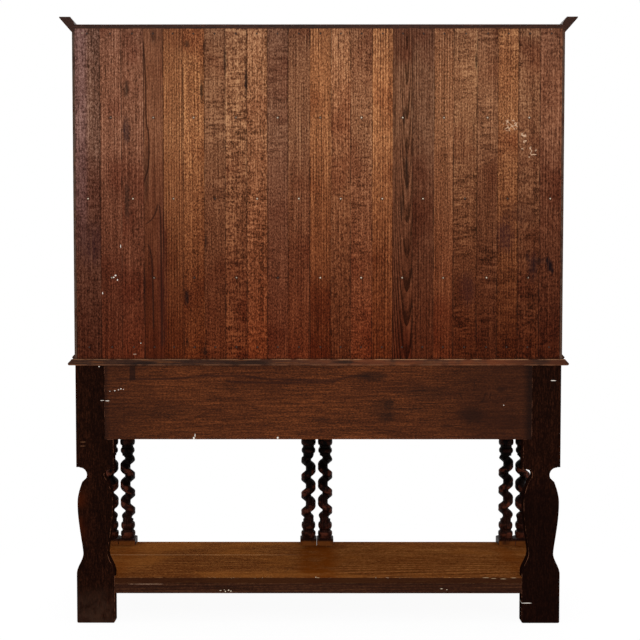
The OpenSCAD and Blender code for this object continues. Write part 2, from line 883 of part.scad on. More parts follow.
rear_leg(-1);  // rear_leg_left
rear_leg(1);  // rear_leg_right
post(-1, -1);  // post_left_outer
post(-1, 1);  // post_left_inner
post(0, -1);  // post_centre_left
post(0, 1);  // post_centre_right
post(1, -1);  // post_right_inner
post(1, 1);  // post_right_outer
pot_board();
pot_rail_back();
pot_rail_front(-1);  // pot_rail_front_left
pot_rail_front(1);  // pot_rail_front_right
pot_rail_end(-1);  // pot_rail_end_left
pot_rail_end(1);  // pot_rail_end_right
pot_bearer();
back_rail();
end_panel(-1);  // end_panel_left
end_panel(1);  // end_panel_right
top_rail(-1);  // top_rail_left
top_rail(1);  // top_rail_right
apron_rail(-1);  // apron_rail_left
apron_rail(1);  // apron_rail_right
side_runner(-1);  // runner_left
runner_centre();
side_runner(1);  // runner_right
kickers();
table_top();
rack_side(-1);  // rack_side_left
rack_side(1);  // rack_side_right
rack_top();
shelf(shelf_low_z);  // shelf_low
shelf(shelf_middle_z);  // shelf_middle
shelf(shelf_high_z);  // shelf_high
nail_rails();
rack_frieze();
cornice_front();
cornice_return(-1);  // cornice_left
cornice_return(1);  // cornice_right
rack_foot_mouldings();
rack_dowels();
back_boards();
board_nails();
drawer_front(-1);  // left_drawer_front
drawer_side(-1, false);  // left_drawer_side_a
drawer_side(-1, true);  // left_drawer_side_b
drawer_back(-1);  // left_drawer_back
drawer_bottom(-1);  // left_drawer_bottom
drawer_beads(-1);  // left_drawer_beads
pull_posts(-1);  // left_drawer_pull_posts
pull(-1, true);  // left_drawer_pull_a
pull(-1, false);  // left_drawer_pull_b
drawer_front(1);  // right_drawer_front
drawer_side(1, false);  // right_drawer_side_a
drawer_side(1, true);  // right_drawer_side_b
drawer_back(1);  // right_drawer_back
drawer_bottom(1);  // right_drawer_bottom
drawer_beads(1);  // right_drawer_beads
pull_posts(1);  // right_drawer_pull_posts
pull(1, true);  // right_drawer_pull_a
pull(1, false);  // right_drawer_pull_b
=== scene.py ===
import math
import random

import bmesh
import bpy
from mathutils import Matrix, Vector, noise


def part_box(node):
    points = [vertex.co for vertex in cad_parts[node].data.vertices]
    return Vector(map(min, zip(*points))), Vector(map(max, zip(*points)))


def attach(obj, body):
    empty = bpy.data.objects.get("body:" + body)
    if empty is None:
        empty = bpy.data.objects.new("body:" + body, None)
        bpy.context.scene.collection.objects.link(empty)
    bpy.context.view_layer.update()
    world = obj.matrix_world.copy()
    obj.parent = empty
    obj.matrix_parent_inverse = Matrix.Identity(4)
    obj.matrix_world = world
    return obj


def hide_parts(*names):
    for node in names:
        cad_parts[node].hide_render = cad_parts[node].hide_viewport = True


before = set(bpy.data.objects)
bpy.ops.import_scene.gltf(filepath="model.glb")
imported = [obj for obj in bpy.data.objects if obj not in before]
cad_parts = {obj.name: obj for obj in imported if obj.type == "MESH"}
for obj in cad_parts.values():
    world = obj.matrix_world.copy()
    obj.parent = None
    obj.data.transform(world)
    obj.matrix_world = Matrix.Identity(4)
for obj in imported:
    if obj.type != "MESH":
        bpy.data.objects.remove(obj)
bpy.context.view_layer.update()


# Viewpoint: the photograph is taken square from behind, a little above the table's height.
# The camera stands 3.16 m from the back and looks about two degrees down.
eye, gaze = Vector((0.0397, 3.4007, 1.1035)), Vector((0.0015, -1.0, -0.0363))
focal_in_pixels, pixels_off_centre, photo_side = 981.5, 15.5, 640


def set_up(name, data):
    """Brings a piece, a lamp or the camera into the scene."""
    thing = bpy.data.objects.new(name, data)
    bpy.context.scene.collection.objects.link(thing)
    return thing


def aimed(at, toward):
    """Where a camera or a lamp stands, and which way it looks."""
    return Matrix.Translation(at) @ toward.to_track_quat("-Z", "Y").to_matrix().to_4x4()


camera = set_up("camera", bpy.data.cameras.new("camera"))
camera.data.sensor_width = 36.0
camera.data.lens = camera.data.sensor_width * focal_in_pixels / photo_side
camera.data.shift_x = pixels_off_centre / photo_side
camera.matrix_world = aimed(eye, gaze)
bpy.context.scene.camera = camera


# Rear legs: a pair of 36 mm oak planks sawn to the outline of a baluster, with a square
# foot and head, stained nearly black. The back rail is let into their back faces, and the
# stain has worn off the sawn arrises, which also carry a painted highlight.
foot_half, waist_half, belly_half = 0.0615, 0.0398, 0.0572
shoulder_half, neck_half, head_half = 0.0415, 0.0260, 0.0605
foot_top, waist_z, belly_z, shoulder_z, neck_z = 0.161, 0.230, 0.394, 0.463, 0.486
neck_hollow, inner_hollow, head_step, foot_worn = 0.0235, 0.0165, 0.0015, 0.005
leg_ease = 0.0022


class Flow:
    """A value, a colour or a position on its way through the shader of a piece."""

    def __init__(self, tree, socket):
        self.tree, self.socket = tree, socket

    def node(self, kind, inputs, out=0, **settings):
        node = self.tree.nodes.new("ShaderNode" + kind)
        for setting, value in settings.items():
            setattr(node, setting, value)
        for key, value in inputs.items():
            if isinstance(value, Flow):
                self.tree.links.new(value.socket, node.inputs[key])
            else:
                node.inputs[key].default_value = value
        return Flow(self.tree, node.outputs[out])

    def math(self, operation, *others):
        return self.node("Math", dict(enumerate((self, *others))), operation=operation)

    def __add__(self, other):
        return self.math("ADD", other)

    def __sub__(self, other):
        return self.math("SUBTRACT", other)

    def __rsub__(self, other):
        return self * -1.0 + other

    def __mul__(self, other):
        return self.math("MULTIPLY", other)

    def __truediv__(self, other):
        return self.math("DIVIDE", other)

    def __abs__(self):
        return self.math("ABSOLUTE")

    __radd__ = __add__
    __rmul__ = __mul__

    def between(self, low, high):
        """0 at low, 1 at high, and a soft step from one to the other."""
        inputs = {"Value": self, "From Min": low, "From Max": high}
        return self.node("MapRange", inputs, interpolation_type="SMOOTHSTEP")

    def blend(self, under, over, way="MIX"):
        """Over covers under by this much."""
        return self.node("Mix", {0: self, 6: under, 7: over}, out=2, data_type="RGBA",
                         blend_type=way)

    def moved(self, by):
        return self.node("VectorMath", {0: self, 1: by}, operation="ADD")

    def stretched(self, by):
        return self.node("VectorMath", {0: self, 1: by}, operation="MULTIPLY")

    def length(self):
        return self.node("VectorMath", {0: self}, out=1, operation="LENGTH")

    def axis(self, number):
        return self.node("SeparateXYZ", {0: self}, out=number)

    def along(self, number, low, high):
        """0 at low and 1 at high of a position, on one of its axes."""
        return self.axis(number).between(low, high)

    def noise(self, scale, detail=2.0, roughness=0.5, distortion=0.0):
        return self.node("TexNoise", {"Vector": self, "Scale": scale, "Detail": detail,
                                      "Roughness": roughness, "Distortion": distortion})


def tint(code):
    """A colour written as six hex digits, as the shader takes it."""
    parts = [int(code[i:i + 2], 16) / 255 for i in (0, 2, 4)]
    return (*[p / 12.92 if p < 0.04 else ((p + 0.055) / 1.055) ** 2.4 for p in parts], 1.0)


def coats(colour, *layers):
    """Stains laid on a colour one after another: how much each covers, and its own colour."""
    for cover, code in layers:
        colour = cover.blend(colour, tint(code))
    return colour


def start_material(name):
    """A new material, and the position on the object that its patterns are laid out by."""
    material = bpy.data.materials.new(name)
    material.use_nodes = True
    tree = material.node_tree
    return material, Flow(tree, tree.nodes.new("ShaderNodeTexCoord").outputs["Object"])


def finish_material(material, colour, roughness, relief, depth, specular, metallic=0.0):
    """Feeds the shader. The relief runs from 0 to 1 and stands for a depth in metres."""
    shader = material.node_tree.nodes["Principled BSDF"]
    bump = relief.node("Bump", {"Strength": 1.0, "Distance": depth, "Height": relief})
    for name, flow in (("Base Color", colour), ("Roughness", roughness), ("Normal", bump)):
        material.node_tree.links.new(flow.socket, shader.inputs[name])
    shader.inputs["Specular IOR Level"].default_value = specular
    shader.inputs["Metallic"].default_value = metallic
    return material


def oak(name, slot, along, tones, heart, rings=0.0075, lines=0.5, rays=0.2, grit=1.0,
        curl=0.015, wear_and_highlight_tone="6e442c", specular=0.06, rough=0.6, squeeze=1.0, marks=None):
    """Oak with its grain along one axis, in a dark, a middle and a pale tone.

    heart says where the middle of the trunk ran: two places across the plank, its slope
    towards the second of them, and where along the plank the slope starts. A heart close
    under a sloping plank gives pointed arches, and one far to the side straight lines.
    The more the fibres curl, the shorter they show, and squeeze narrows the arches.
    """
    material, place = start_material(name)
    dark, mid, pale = [tint(tone) for tone in tones]
    chance = random.Random(name)
    first, second = [i for i in range(3) if i != along]
    slow, quick, fine, short = [1.0] * 3, [1.0] * 3, [1.0] * 3, [0.22] * 3
    slow[along], quick[along], fine[along], short[along] = curl, 0.09, 0.6, 1.0
    apart = place.moved([chance.uniform(-5, 5) for _ in range(3)])
    broad = apart.stretched(quick).noise(14.0, 3.0, 0.6)
    fibre = apart.stretched(slow).noise(260.0, 3.0, 0.7)
    speckle = apart.stretched(fine).noise(240.0, 2.0, 0.7)
    ripple = apart.stretched(short).noise(85.0, 3.0, 0.75, 0.6)
    wander = (apart.stretched(quick).noise(9.0, 2.0) - 0.5) * 0.016
    out = (place.axis(first) + wander - heart[0]) * squeeze
    down = place.axis(second) + place.axis(along) * heart[2] - (heart[1] + heart[2] * heart[3])
    radius = (out * out + down * down).math("SQRT")
    ring = (radius / rings).math("FRACT").between(0.3, 0.95) * broad.between(0.3, 0.6)
    pores = apart.stretched(quick).noise(520.0, 2.0, 0.6).between(0.56, 0.7)
    patch = apart.noise(8.0, 2.0).between(0.38, 0.6)
    shade = (fibre - 0.5) * 1.5 + (speckle - 0.5) * (1.7 * grit) + (broad - 0.5) * 0.7 + 0.53
    shade = shade + (ripple - 0.5) * patch * (3.0 * rays) - ring * (0.5 * lines) - pores * 0.22
    colour = (shade * 2.0).blend(dark, mid)
    colour = (shade * 2.0 - 1.0).blend(colour, pale)
    if marks:
        colour = marks(place, colour)
    # Arrises and crests marked on the mesh are painted paler: partly wear through the stain, partly a
    # painted highlight.
    worn = place.node("Attribute", {}, out=2, attribute_name="worn")
    rub_and_highlight = worn * apart.noise(42.0, 3.0, 0.7).between(0.44, 0.62)
    relief = fibre * 0.4 + speckle * 0.4 - ring * (0.4 * lines) - pores * 0.5 + apart.noise(22.0) * 0.6
    return finish_material(material, coats(colour, (rub_and_highlight * 0.75, wear_and_highlight_tone)),
                           fibre * 0.3 + (rough - 0.15), relief, 0.0008, specular)


def spot(place, x, z, wide, tall, ragged=0.5):
    """How far a point of the back lies from the middle of an oval, as 1 at its rim.

    The oval's place, half its width and half its height are in millimetres, as are those
    of all stains, knots and specks.
    """
    centred = place.moved((-x / 1000, 0.0, -z / 1000)).stretched((1000 / wide, 0.0, 1000 / tall))
    return centred.length() + (place.noise(70.0, 3.0, 0.65) - 0.5) * ragged


def splash(place, colour, specks, paint="d8cfc4"):
    """Old paint in specks, each with an x, a z, half a width and half a height."""
    return coats(colour, *[(spot(place, *speck, 1.1).between(1.0, 0.7), paint) for speck in specks])


def loft(bm, loops, closed=False):
    """Skins loops of points one after another, and closes the ends or joins them."""
    rings = [[bm.verts.new(point) for point in loop] for loop in loops]
    for lower, upper in zip(rings, rings[1:] + rings[:1] if closed else rings[1:]):
        for i in range(len(lower)):
            bm.faces.new((lower[i - 1], lower[i], upper[i], upper[i - 1]))
    if not closed:
        bm.faces.new(rings[0])
        bm.faces.new(rings[-1])
    return bm


def station(axis, at, outline):
    """An outline in the other two axes, set square across one axis."""
    return [Vector((*point[:axis], at, *point[axis:])) for point in outline]


def sawn(bm, axis, start, stop, outline, count=1):
    """Wood sawn to an outline, from one place on an axis to another."""
    return loft(bm, [station(axis, start + (stop - start) * i / count, outline)
                     for i in range(count + 1)])


def plank(bm, lo, hi, along, step=0.12):
    """A board between two corners, with a cross-section every step along its grain."""
    first, second = [i for i in range(3) if i != along]
    outline = [(lo[first], lo[second]), (hi[first], lo[second]),
               (hi[first], hi[second]), (lo[first], hi[second])]
    count = max(1, round((hi[along] - lo[along]) / step))
    return sawn(bm, along, lo[along], hi[along], outline, count)


def carve(bm, *blocks):
    """Cuts blocks, each given by its lowest and highest corner, out of the wood."""
    works = []
    for solid in [bm] + [plank(bmesh.new(), lo, hi, 2, step=9.0) for lo, hi in blocks]:
        bmesh.ops.recalc_face_normals(solid, faces=solid.faces)
        mesh = bpy.data.meshes.new("work")
        solid.to_mesh(mesh)
        works.append(set_up("work", mesh))
    for tool in works[1:]:
        cut = works[0].modifiers.new("cut", "BOOLEAN")
        cut.operation, cut.solver, cut.object = "DIFFERENCE", "EXACT", tool
    carved = works[0].evaluated_get(bpy.context.evaluated_depsgraph_get())
    bm.clear()
    bm.from_mesh(carved.data)
    for work in works:
        bpy.data.meshes.remove(work.data)
    return bm


# With a seed, the wood is uneven in the same way on every run.
noise.seed_set(1)


def ease(bm, width, uneven=0.0002):
    """Rounds the arrises, marks them to be painted paler as wear and as a painted highlight, and
    leaves the wood a little uneven.
    """
    worn = bm.faces.layers.float.new("worn")
    sharp = [edge for edge in bm.edges if edge.calc_face_angle(0.0) > 0.5]
    made = bmesh.ops.bevel(bm, geom=sharp, offset=width, segments=2, profile=0.6,
                           affect="EDGES", clamp_overlap=True)
    for face in made["faces"]:
        face[worn] = 1.0
    for vert in bm.verts:
        vert.co += noise.noise_vector(vert.co * 21.0) * uneven
    return bm


def fit(bm, name, material, *nodes, body="carcass"):
    """Makes the piece, puts it on its body, and stands it in for its nodes of the frame."""
    bmesh.ops.recalc_face_normals(bm, faces=bm.faces)
    mesh = bpy.data.meshes.new(name)
    bm.to_mesh(mesh)
    bm.free()
    mesh.materials.append(material)
    mesh.shade_smooth()
    mesh.set_sharp_from_angle(angle=math.radians(35))
    piece = set_up(name, mesh)
    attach(piece, body)
    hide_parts(*nodes)


def arc(x, z, radius, start, stop, count):
    """Points round an arc, between two turns in degrees."""
    turns = [math.radians(start + (stop - start) * i / count) for i in range(count + 1)]
    return [(x + radius * math.cos(turn), z + radius * math.sin(turn)) for turn in turns]


def swell(start, stop, low, high, count, rule):
    """Points up a sawn curve, from one half width to another by a rule."""
    return [(start + (stop - start) * rule(i / count), low + (high - low) * i / count)
            for i in range(count + 1)]


def leg_side(top, hollow):
    """Half the width of a leg at each height, from the floor to under the table."""
    neck, step_z = neck_half + (neck_hollow + hollow) / 2, neck_z + hollow + head_step
    points = arc(foot_half - foot_worn, foot_worn, foot_worn, -90, 0, 5)
    points += swell(foot_half, waist_half, foot_top, waist_z, 14,
                    lambda t: (1 - math.cos(math.pi * t)) / 2)
    points += swell(waist_half, belly_half, waist_z, belly_z, 16,
                    lambda t: math.sin(math.pi / 2 * t) ** 1.25)[1:]
    points += swell(belly_half, shoulder_half, belly_z, shoulder_z, 14,
                    lambda t: 1 - math.cos(math.pi / 2 * t))[1:]
    points += arc(neck, neck_z, hollow, 208, 90, 14)
    return points + [(neck, step_z), (head_half, step_z), (head_half, top)]


def leg_marks(place, colour):
    """One browner foot, a warm painted highlight up the outside of the bellies, and scratches."""
    paler = place.along(0, -0.1, 0.1)
    low = place.along(2, 0.14, 0.03) * place.noise(16.0, 4.0, 0.7).between(0.30, 0.62)
    darker = (1.0 - paler) * place.along(2, 0.52, 0.40)
    belly = place.along(2, 0.24, 0.34) * place.along(2, 0.47, 0.40)
    # A painted highlight up the outside of one belly.
    painted_belly_highlight = belly * place.along(0, 0.735, 0.775) * place.noise(9.0).between(0.3, 0.6)
    colour = coats(colour, (low * paler * 0.7, "35231a"), (darker * 0.6, "0c0504"),
                   (painted_belly_highlight * 0.5, "461a08"),
                   *[(spot(place, 762, z, 11, 1.4, 0.9).between(1.0, 0.5) * 0.6, "7a5238")
                     for z in (593, 580)])
    return splash(place, colour, [(-760, 793, 9, 1.4), (708, 838, 2, 2), (699, 728, 7, 1.1),
                                  (-678, 66, 21, 1.3)])


leg_oak = oak("leg_oak", "frame_oak", 2, ("0b0504", "180a06", "32180e"), (0.02, 0.10, 0.05, 0.4),
              lines=0.15, rays=0.1, grit=0.6, curl=0.18, wear_and_highlight_tone="8a5840", specular=0.0, rough=0.6,
              marks=leg_marks)
rail_lo, rail_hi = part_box("back_rail")
for word, inward in (("left", 1), ("right", -1)):
    leg_lo, leg_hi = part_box("rear_leg_" + word)
    middle = (leg_lo.x + leg_hi.x) / 2
    outline = [(middle + inward * w, z) for w, z in leg_side(leg_hi.z, inner_hollow)]
    outline += [(middle - inward * w, z) for w, z in reversed(leg_side(leg_hi.z, neck_hollow))]
    leg = sawn(bmesh.new(), 1, leg_lo.y, leg_hi.y, outline)
    carve(leg, (rail_lo, (rail_hi.x, 1.0, 1.0)))
    fit(ease(leg, leg_ease), "sawn_leg_" + word, leg_oak, "rear_leg_" + word)


# Back rail: one oak board, 240 mm wide, let flush into both rear legs and carrying the
# back of the table. Its waxed face has a long dark line, stains and the swirl of a burr.
# Stains: x, z, half the width, half the height, and how dark.
rail_stains = [(-497, 680, 50, 32, 0.75), (-228, 715, 22, 18, 0.55), (-222, 672, 28, 20, 0.45),
               (-170, 806, 60, 18, 0.60), (-212, 700, 58, 44, 0.45), (-350, 752, 100, 28, 0.35),
               (-590, 764, 16, 12, 0.60), (-418, 646, 28, 6, 0.50), (-10, 667, 40, 8, 0.40),
               (480, 690, 120, 30, 0.20), (-504, 783, 3, 14, 0.70), (-300, 700, 60, 12, 0.25)]
rail_chips = [(403, 606, 3.5, 4), (399, 615, 1.5, 6), (131, 607, 4, 4), (638, 766, 3, 2.2),
              (630, 764, 1.6, 1.6), (646, 763, 2.2, 1.4), (658, 760, 2.4, 1.4),
              (674, 758, 2.6, 1), (682, 727, 7, 1.3), (-600, 713, 1.6, 1.6)]
rail_loops = [(-500, 752, 45, 42), (-584, 742, 32, 27), (-584, 742, 15, 13), (629, 668, 6, 6)]
rail_lines = [[(-170, 808), (-116, 807), (-36, 795), (158, 798), (239, 807), (352, 808),
               (481, 799), (660, 798)], [(-60, 788), (120, 786), (300, 790)]]


def drawn(place, points, half_width, up=2, across=0):
    """A thin line through points in millimetres, each a place up the wood and one across."""
    points = [(height / 1000, side / 1000) for height, side in points]
    low, high = points[0][0], points[-1][0]
    near = min(side for height, side in points) - 0.01
    far = max(side for height, side in points) + 0.01
    curve = place.node("FloatCurve", {"Value": (place.axis(up) - low) / (high - low)})
    curve_node = curve.socket.node
    line = curve_node.mapping.curves[0]
    for number, (height, side) in enumerate(points):
        spot_at = ((height - low) / (high - low), (side - near) / (far - near))
        if 0 < number < len(points) - 1:
            line.points.new(*spot_at)
        else:
            line.points[0 if number == 0 else -1].location = spot_at
    curve_node.mapping.update()
    away = abs(curve * (far - near) + near - place.axis(across))
    within = place.along(up, low - 0.004, low + 0.01)
    within = within * place.along(up, high + 0.004, high - 0.01)
    return away.between(half_width, half_width * 0.4) * within


def rail_marks(place, colour):
    """Clouds, lines, stains and loops of the burr, a dark run, a painted shadow under the table's
    edge, and both ends darkened.
    """
    cloud = place.stretched((0.3, 1.0, 1.0)).noise(11.0, 3.0, 0.6).between(0.42, 0.62)
    layers = [(cloud * 0.3, "2c130b")]
    layers += [(drawn(place, points, 0.0050, up=0, across=2) * 0.6, "24110d")
               for points in rail_lines]
    layers += [(spot(place, *oval, 0.8).between(1.2, 0.4) * depth, "1b100c")
               for *oval, depth in rail_stains]
    for oval in rail_loops:
        loop = abs(spot(place, *oval, 0.25) - 0.9).between(0.09, 0.02)
        layers.append((loop * place.noise(31.0).between(0.42, 0.62) * 0.7, "160b08"))
    run = place.along(0, 0.590, 0.592) * place.along(0, 0.611, 0.609)
    ends = place.along(0, -0.22, -0.60) * 0.70 + place.along(0, 0.42, 0.70) * 0.54
    corner = place.along(0, -0.655, -0.685) + place.along(0, 0.672, 0.694) * 0.8
    # A dark run, a painted shadow along the top under the table's edge, both ends darker, and the
    # corners by the legs darker.
    layers += [(run * place.along(2, 0.790, 0.797) * 0.8, "170d0b"),
               (place.along(2, 0.824, 0.840) * 0.3, "1b0f0a"), (ends, "25110a"),
               (corner * 0.75, "120907")]
    return splash(place, coats(colour, *layers), rail_chips)


rail_oak = oak("rail_oak", "shelf_oak", 0, ("24110a", "4c2511", "733d1f"), (0.16, 0.62, 0.03, 0.0),
               rings=0.011, lines=0.3, rays=0.0, grit=0.95, curl=0.05, wear_and_highlight_tone="4e2a1a",
               specular=0.03, rough=0.5, marks=rail_marks)
fit(ease(plank(bmesh.new(), rail_lo, rail_hi, 0), 0.0012), "waxed_back_rail", rail_oak, "back_rail")


# Barley-twist posts: six oak squares turned between centres, each with a square foot and
# head, turned rings, and one thick strand carved round it. The twins of a pair turn
# opposite ways. Dark stain has rubbed through to red wood along the top of each strand,
# with a painted highlight there too, and painted shade darkens the posts upwards.
post_half, post_corner, post_top, end_ease = 0.030, 0.0415, 0.842, 0.0016
post_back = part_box("post_left_outer")[1].y
foot_end, head_start = 0.176, 0.546
shoulder_drop, shoulder_radius, shoulder_swell = 0.008, 0.025, 0.018
# Each ring: its radius, how far it swells or is hollowed, and the heights of its two edges.
post_rings = [(0.0240, 0.0026, 0.181, 0.198), (0.0230, -0.0021, 0.198, 0.208),
              (0.0215, 0.0040, 0.208, 0.231), (0.0215, 0.0039, 0.487, 0.505),
              (0.0220, -0.0014, 0.505, 0.516), (0.0230, 0.0039, 0.516, 0.540)]
# The plain turned radius between the rings, up to each height.
fillets = [(0.181, shoulder_radius), (0.242, 0.0195), (0.477, 0.010), (0.484, 0.0195),
           (0.540, 0.021), (post_top, shoulder_radius)]
strand_from, strand_to, strand_fade = 0.240, 0.483, 0.022
strand_radius, strand_off, strand_rise = 0.0170, 0.0093, 0.065
# Where the stain begins to be rubbed off, from the post's axis, and over what distance; on the
# strand's crest the rub is also a painted highlight. The upper part of the post, in painted
# shade, is rubbed and highlighted less.
strand_rub_and_highlight, corner_rub, upper_part, upper_rub_and_highlight = (0.0235, 0.0025), (0.0405, 0.0008), 0.43, 0.3
# Each post, the way its strand turns, and a height at which the strand bulges to one side.
posts = [("left_outer", -1, 0.399), ("left_inner", 1, 0.415), ("centre_left", -1, 0.404),
         ("centre_right", 1, 0.396), ("right_inner", -1, 0.404), ("right_outer", 1, 0.402)]


def turned_radius(z):
    """The rings and fillets turned at both ends of the strand."""
    for radius, out, low, high in post_rings:
        if low <= z <= high:
            return radius + out * math.sqrt(1 - ((2 * z - low - high) / (high - low)) ** 2)
    return next(radius for top, radius in fillets if z <= top)


def square_radius(angle, z):
    """The square ends, their corners turned away where the rings begin."""
    flat = post_half / max(abs(math.cos(angle)), abs(math.sin(angle)))
    into = (foot_end - z if z < 0.3 else z - head_start) / shoulder_drop
    turned = shoulder_radius + shoulder_swell * math.sqrt(max(0.0, 1 - max(0.0, 1 - into) ** 2))
    end = min(z, post_top - z)
    return min(flat, post_corner, turned) * (1 - 0.02 * max(0.0, 1 - end / end_ease))


def strand_reach(angle, z, peak):
    """How far the strand's surface stands from the post's axis: an oval that turns as it rises."""
    share = min(1.0, max(0.0, min(z - strand_from, strand_to - z) / strand_fade))
    off = strand_off * math.sin(math.pi / 2 * share)
    stretch = 1 + (2 * math.pi * off / strand_rise) ** 2
    turn = angle - 2 * math.pi * (z - peak) / strand_rise
    a = math.cos(turn) ** 2 + math.sin(turn) ** 2 / stretch
    b = off * math.cos(turn)
    return (b + math.sqrt(b * b + a * (strand_radius ** 2 - off ** 2))) / a


def post_marks(place, colour):
    """Painted shade darkens the turning upwards, and the block's back is rubbed brown over the pot
    board.
    """
    foot = place.along(2, 0.171, 0.163) * place.along(2, 0.146, 0.150)
    foot = foot * place.along(1, post_back - 0.004, post_back - 0.001)
    # Painted shade: the turning darkens upwards.
    painted_shade_above = place.along(2, 0.24, 0.42) * (place.along(2, 0.60, 0.56) * 0.52 + 0.4)
    return coats(colour, (foot * place.noise(24.0, 3.0).between(0.1, 0.45) * 0.95, "6b3a16"),
                 (painted_shade_above, "060302"))


twist_oak = oak("twist_oak", "twist_oak", 2, ("0b0504", "1e0d08", "42211a"), (0.4, -0.18, 0.0, 0.0),
                lines=0.3, rays=0.1, grit=0.6, wear_and_highlight_tone="5e2f20", specular=0.03, rough=0.42,
                marks=post_marks)
angles = sorted([2 * math.pi * i / 48 for i in range(48)] +
                [math.radians(45 + 90 * i + d) for i in range(4) for d in (-1.2, 1.2)])
heights = [0.0, end_ease, 0.004, 0.06, 0.12, 0.160]
heights += [0.164 + 0.0015 * i for i in range(56)] + [0.248 + 0.0025 * i for i in range(90)]
heights += [0.473 + 0.0015 * i for i in range(55)] + [0.558, 0.65, 0.75, 0.838, 0.8404, post_top]
for word, twin, peak in posts:
    post_lo, post_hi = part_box("post_" + word)
    centre = (post_lo + post_hi) / 2
    reach = []
    for z in heights:
        if z < foot_end or z > head_start:
            reach.append([square_radius(angle, z) for angle in angles])
        else:
            reach.append([max(turned_radius(z), strand_reach(angle, z, peak)
                              if strand_from < z < strand_to else 0.0) for angle in angles])
    post = bmesh.new()
    worn = post.faces.layers.float.new("worn")
    loft(post, [[Vector((centre.x + twin * r * math.cos(a), centre.y + r * math.sin(a), z))
                 for r, a in zip(row, angles)] for row, z in zip(reach, heights)])
    post.faces.ensure_lookup_table()
    for face in post.faces:
        middle = face.calc_center_median()
        out = math.hypot(middle.x - centre.x, middle.y - centre.y)
        # On the strand's crest the rub is partly a painted highlight, and less in the painted shade of
        # the upper part.
        start, over = strand_rub_and_highlight if foot_end < middle.z < head_start else corner_rub
        rub_and_highlight = min(1.0, max(0.0, (out - start) / over))
        face[worn] = rub_and_highlight * (1.0 if middle.z < upper_part else upper_rub_and_highlight)
    fit(post, "twist_post_" + word, twist_oak, "post_" + word)


# Pot board: two wide oak boards, glued edge to edge and notched round the legs and posts,
# on rails and a bearer 33 mm high. The back of the board is rubbed pale and chipped.
board_joint_y = -0.025
# Cuts run on past the wood: this far from the middle to a side, and to the front or back.
bay_in, bay_out, leg_in, beyond, clear = 0.0605, 0.664, 0.663, 0.90, 0.30


def board(name, lo, hi, along, material, *nodes, width=0.0012, body="carcass", cuts=()):
    """An eased board between two corners, with blocks cut out of it, fitted to its body."""
    bm = plank(bmesh.new(), lo, hi, along)
    if cuts:
        carve(bm, *cuts)
    fit(ease(bm, width), name, material, *nodes, body=body)


def whole_board(node, along, material, **more):
    """A board that fills the box of its node, and is named after it."""
    board(node + "_board", *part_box(node), along, material, node, **more)


def pot_marks(place, colour):
    """Painted reflections of the posts, the ring of a pot, the open joint, and the rubbed and chipped
    back edge.
    """
    warm = (place.stretched((0.5, 1.0, 1.0)).noise(6.0, 3.0) - 0.5) + place.axis(0) * 0.1
    layers = [(warm.between(-0.02, 0.14) * 0.4, "7d4a1e")]
    # Painted reflections of the post pairs in the waxed board, in front of each pair.
    for x, depth in ((-0.70, 0.55), (0.0, 0.9), (0.70, 0.5)):
        painted_reflection = abs(place.axis(0) - x).between(0.09, 0.03) * place.noise(13.0, 2.0).between(0.3, 0.6)
        layers.append((painted_reflection * depth, "582907"))
    ring = place.moved((-0.135, -0.15, -0.151)).length()
    joint = abs(place.axis(1) - board_joint_y).between(0.0035, 0.001)
    edge = place.along(1, 0.2355, 0.2372)
    layers += [(abs(ring - 0.035).between(0.004, 0.001) * 0.4, "2c170d"),
               (joint * place.along(0, 0.02, 0.2) * 0.6, "a9825c"),
               (edge * place.along(2, 0.1505, 0.1480) * 0.9, "2c160d")]
    layers += [(edge * spot(place, x, z, wide, 1.1, 0.9).between(1.0, 0.5) * 0.8, "a88f70")
               for x, z, wide in ((-545, 149.5, 14), (-572, 147, 11), (-604, 145.5, 13),
                                  (-636, 149, 10), (0, 149.2, 6))]
    chips = place.stretched((1.0, 1.0, 3.0)).noise(95.0, 2.0, 0.6).between(0.68, 0.72)
    rim = place.along(1, 0.229, 0.237) * place.along(2, 0.1455, 0.1495)
    return coats(colour, *layers, (chips * rim, "c9b8a0"))


def rail_paint(place, colour):
    """One long smear and a few specks of old paint."""
    colour = splash(place, colour, [(560, 128, 60, 1.2)], "8a6a55")
    return splash(place, colour, [(318, 107, 4, 1.1), (302, 104, 2, 3), (292, 108, 3, 2.2),
                                  (284, 105, 2, 1.8), (306, 109, 1.5, 1.5), (-402, 113, 4.5, 1.3),
                                  (-419, 110, 2.2, 1.8)], "c9b8a0")


pot_oak = oak("pot_board_oak", "shelf_oak", 0, ("321606", "5d3316", "8c5d30"),
              (0.3, -0.2, 0.03, 0.0), rings=0.011, lines=0.6, rays=0.0, grit=0.8, curl=0.03,
              wear_and_highlight_tone="8a6440", specular=0.0, marks=pot_marks)
pot_rail_oak = oak("pot_rail_oak", "frame_oak", 0, ("180b06", "30170c", "52311c"),
                   (0.0, 0.5, 0.02, 0.0), lines=0.4, rays=0.1, grit=0.5, wear_and_highlight_tone="75492c",
                   specular=0.03, rough=0.55, marks=rail_paint)
pot_lo, pot_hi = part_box("pot_board")
leg_front = leg_lo.y
cuts = [((-bay_in, -clear, 0.0), (bay_in, post_back, 1.0))]
for side in (-1, 1):
    for inner, low, high in ((bay_out, -clear, post_back), (leg_in, leg_front, clear)):
        ends = sorted((side * inner, side * beyond))
        cuts.append(((ends[0], low, 0.0), (ends[1], high, 1.0)))
board("pot_board_front", pot_lo, (pot_hi.x, board_joint_y - 0.0003, pot_hi.z), 0, pot_oak,
      "pot_board", cuts=[cuts[0], cuts[1], cuts[3]])
board("pot_board_back", (pot_lo.x, board_joint_y + 0.0003, pot_lo.z), pot_hi, 0, pot_oak,
      "pot_board", cuts=[cuts[2], cuts[4]])
for word in ("back", "front_left", "front_right"):
    whole_board("pot_rail_" + word, 0, pot_rail_oak)


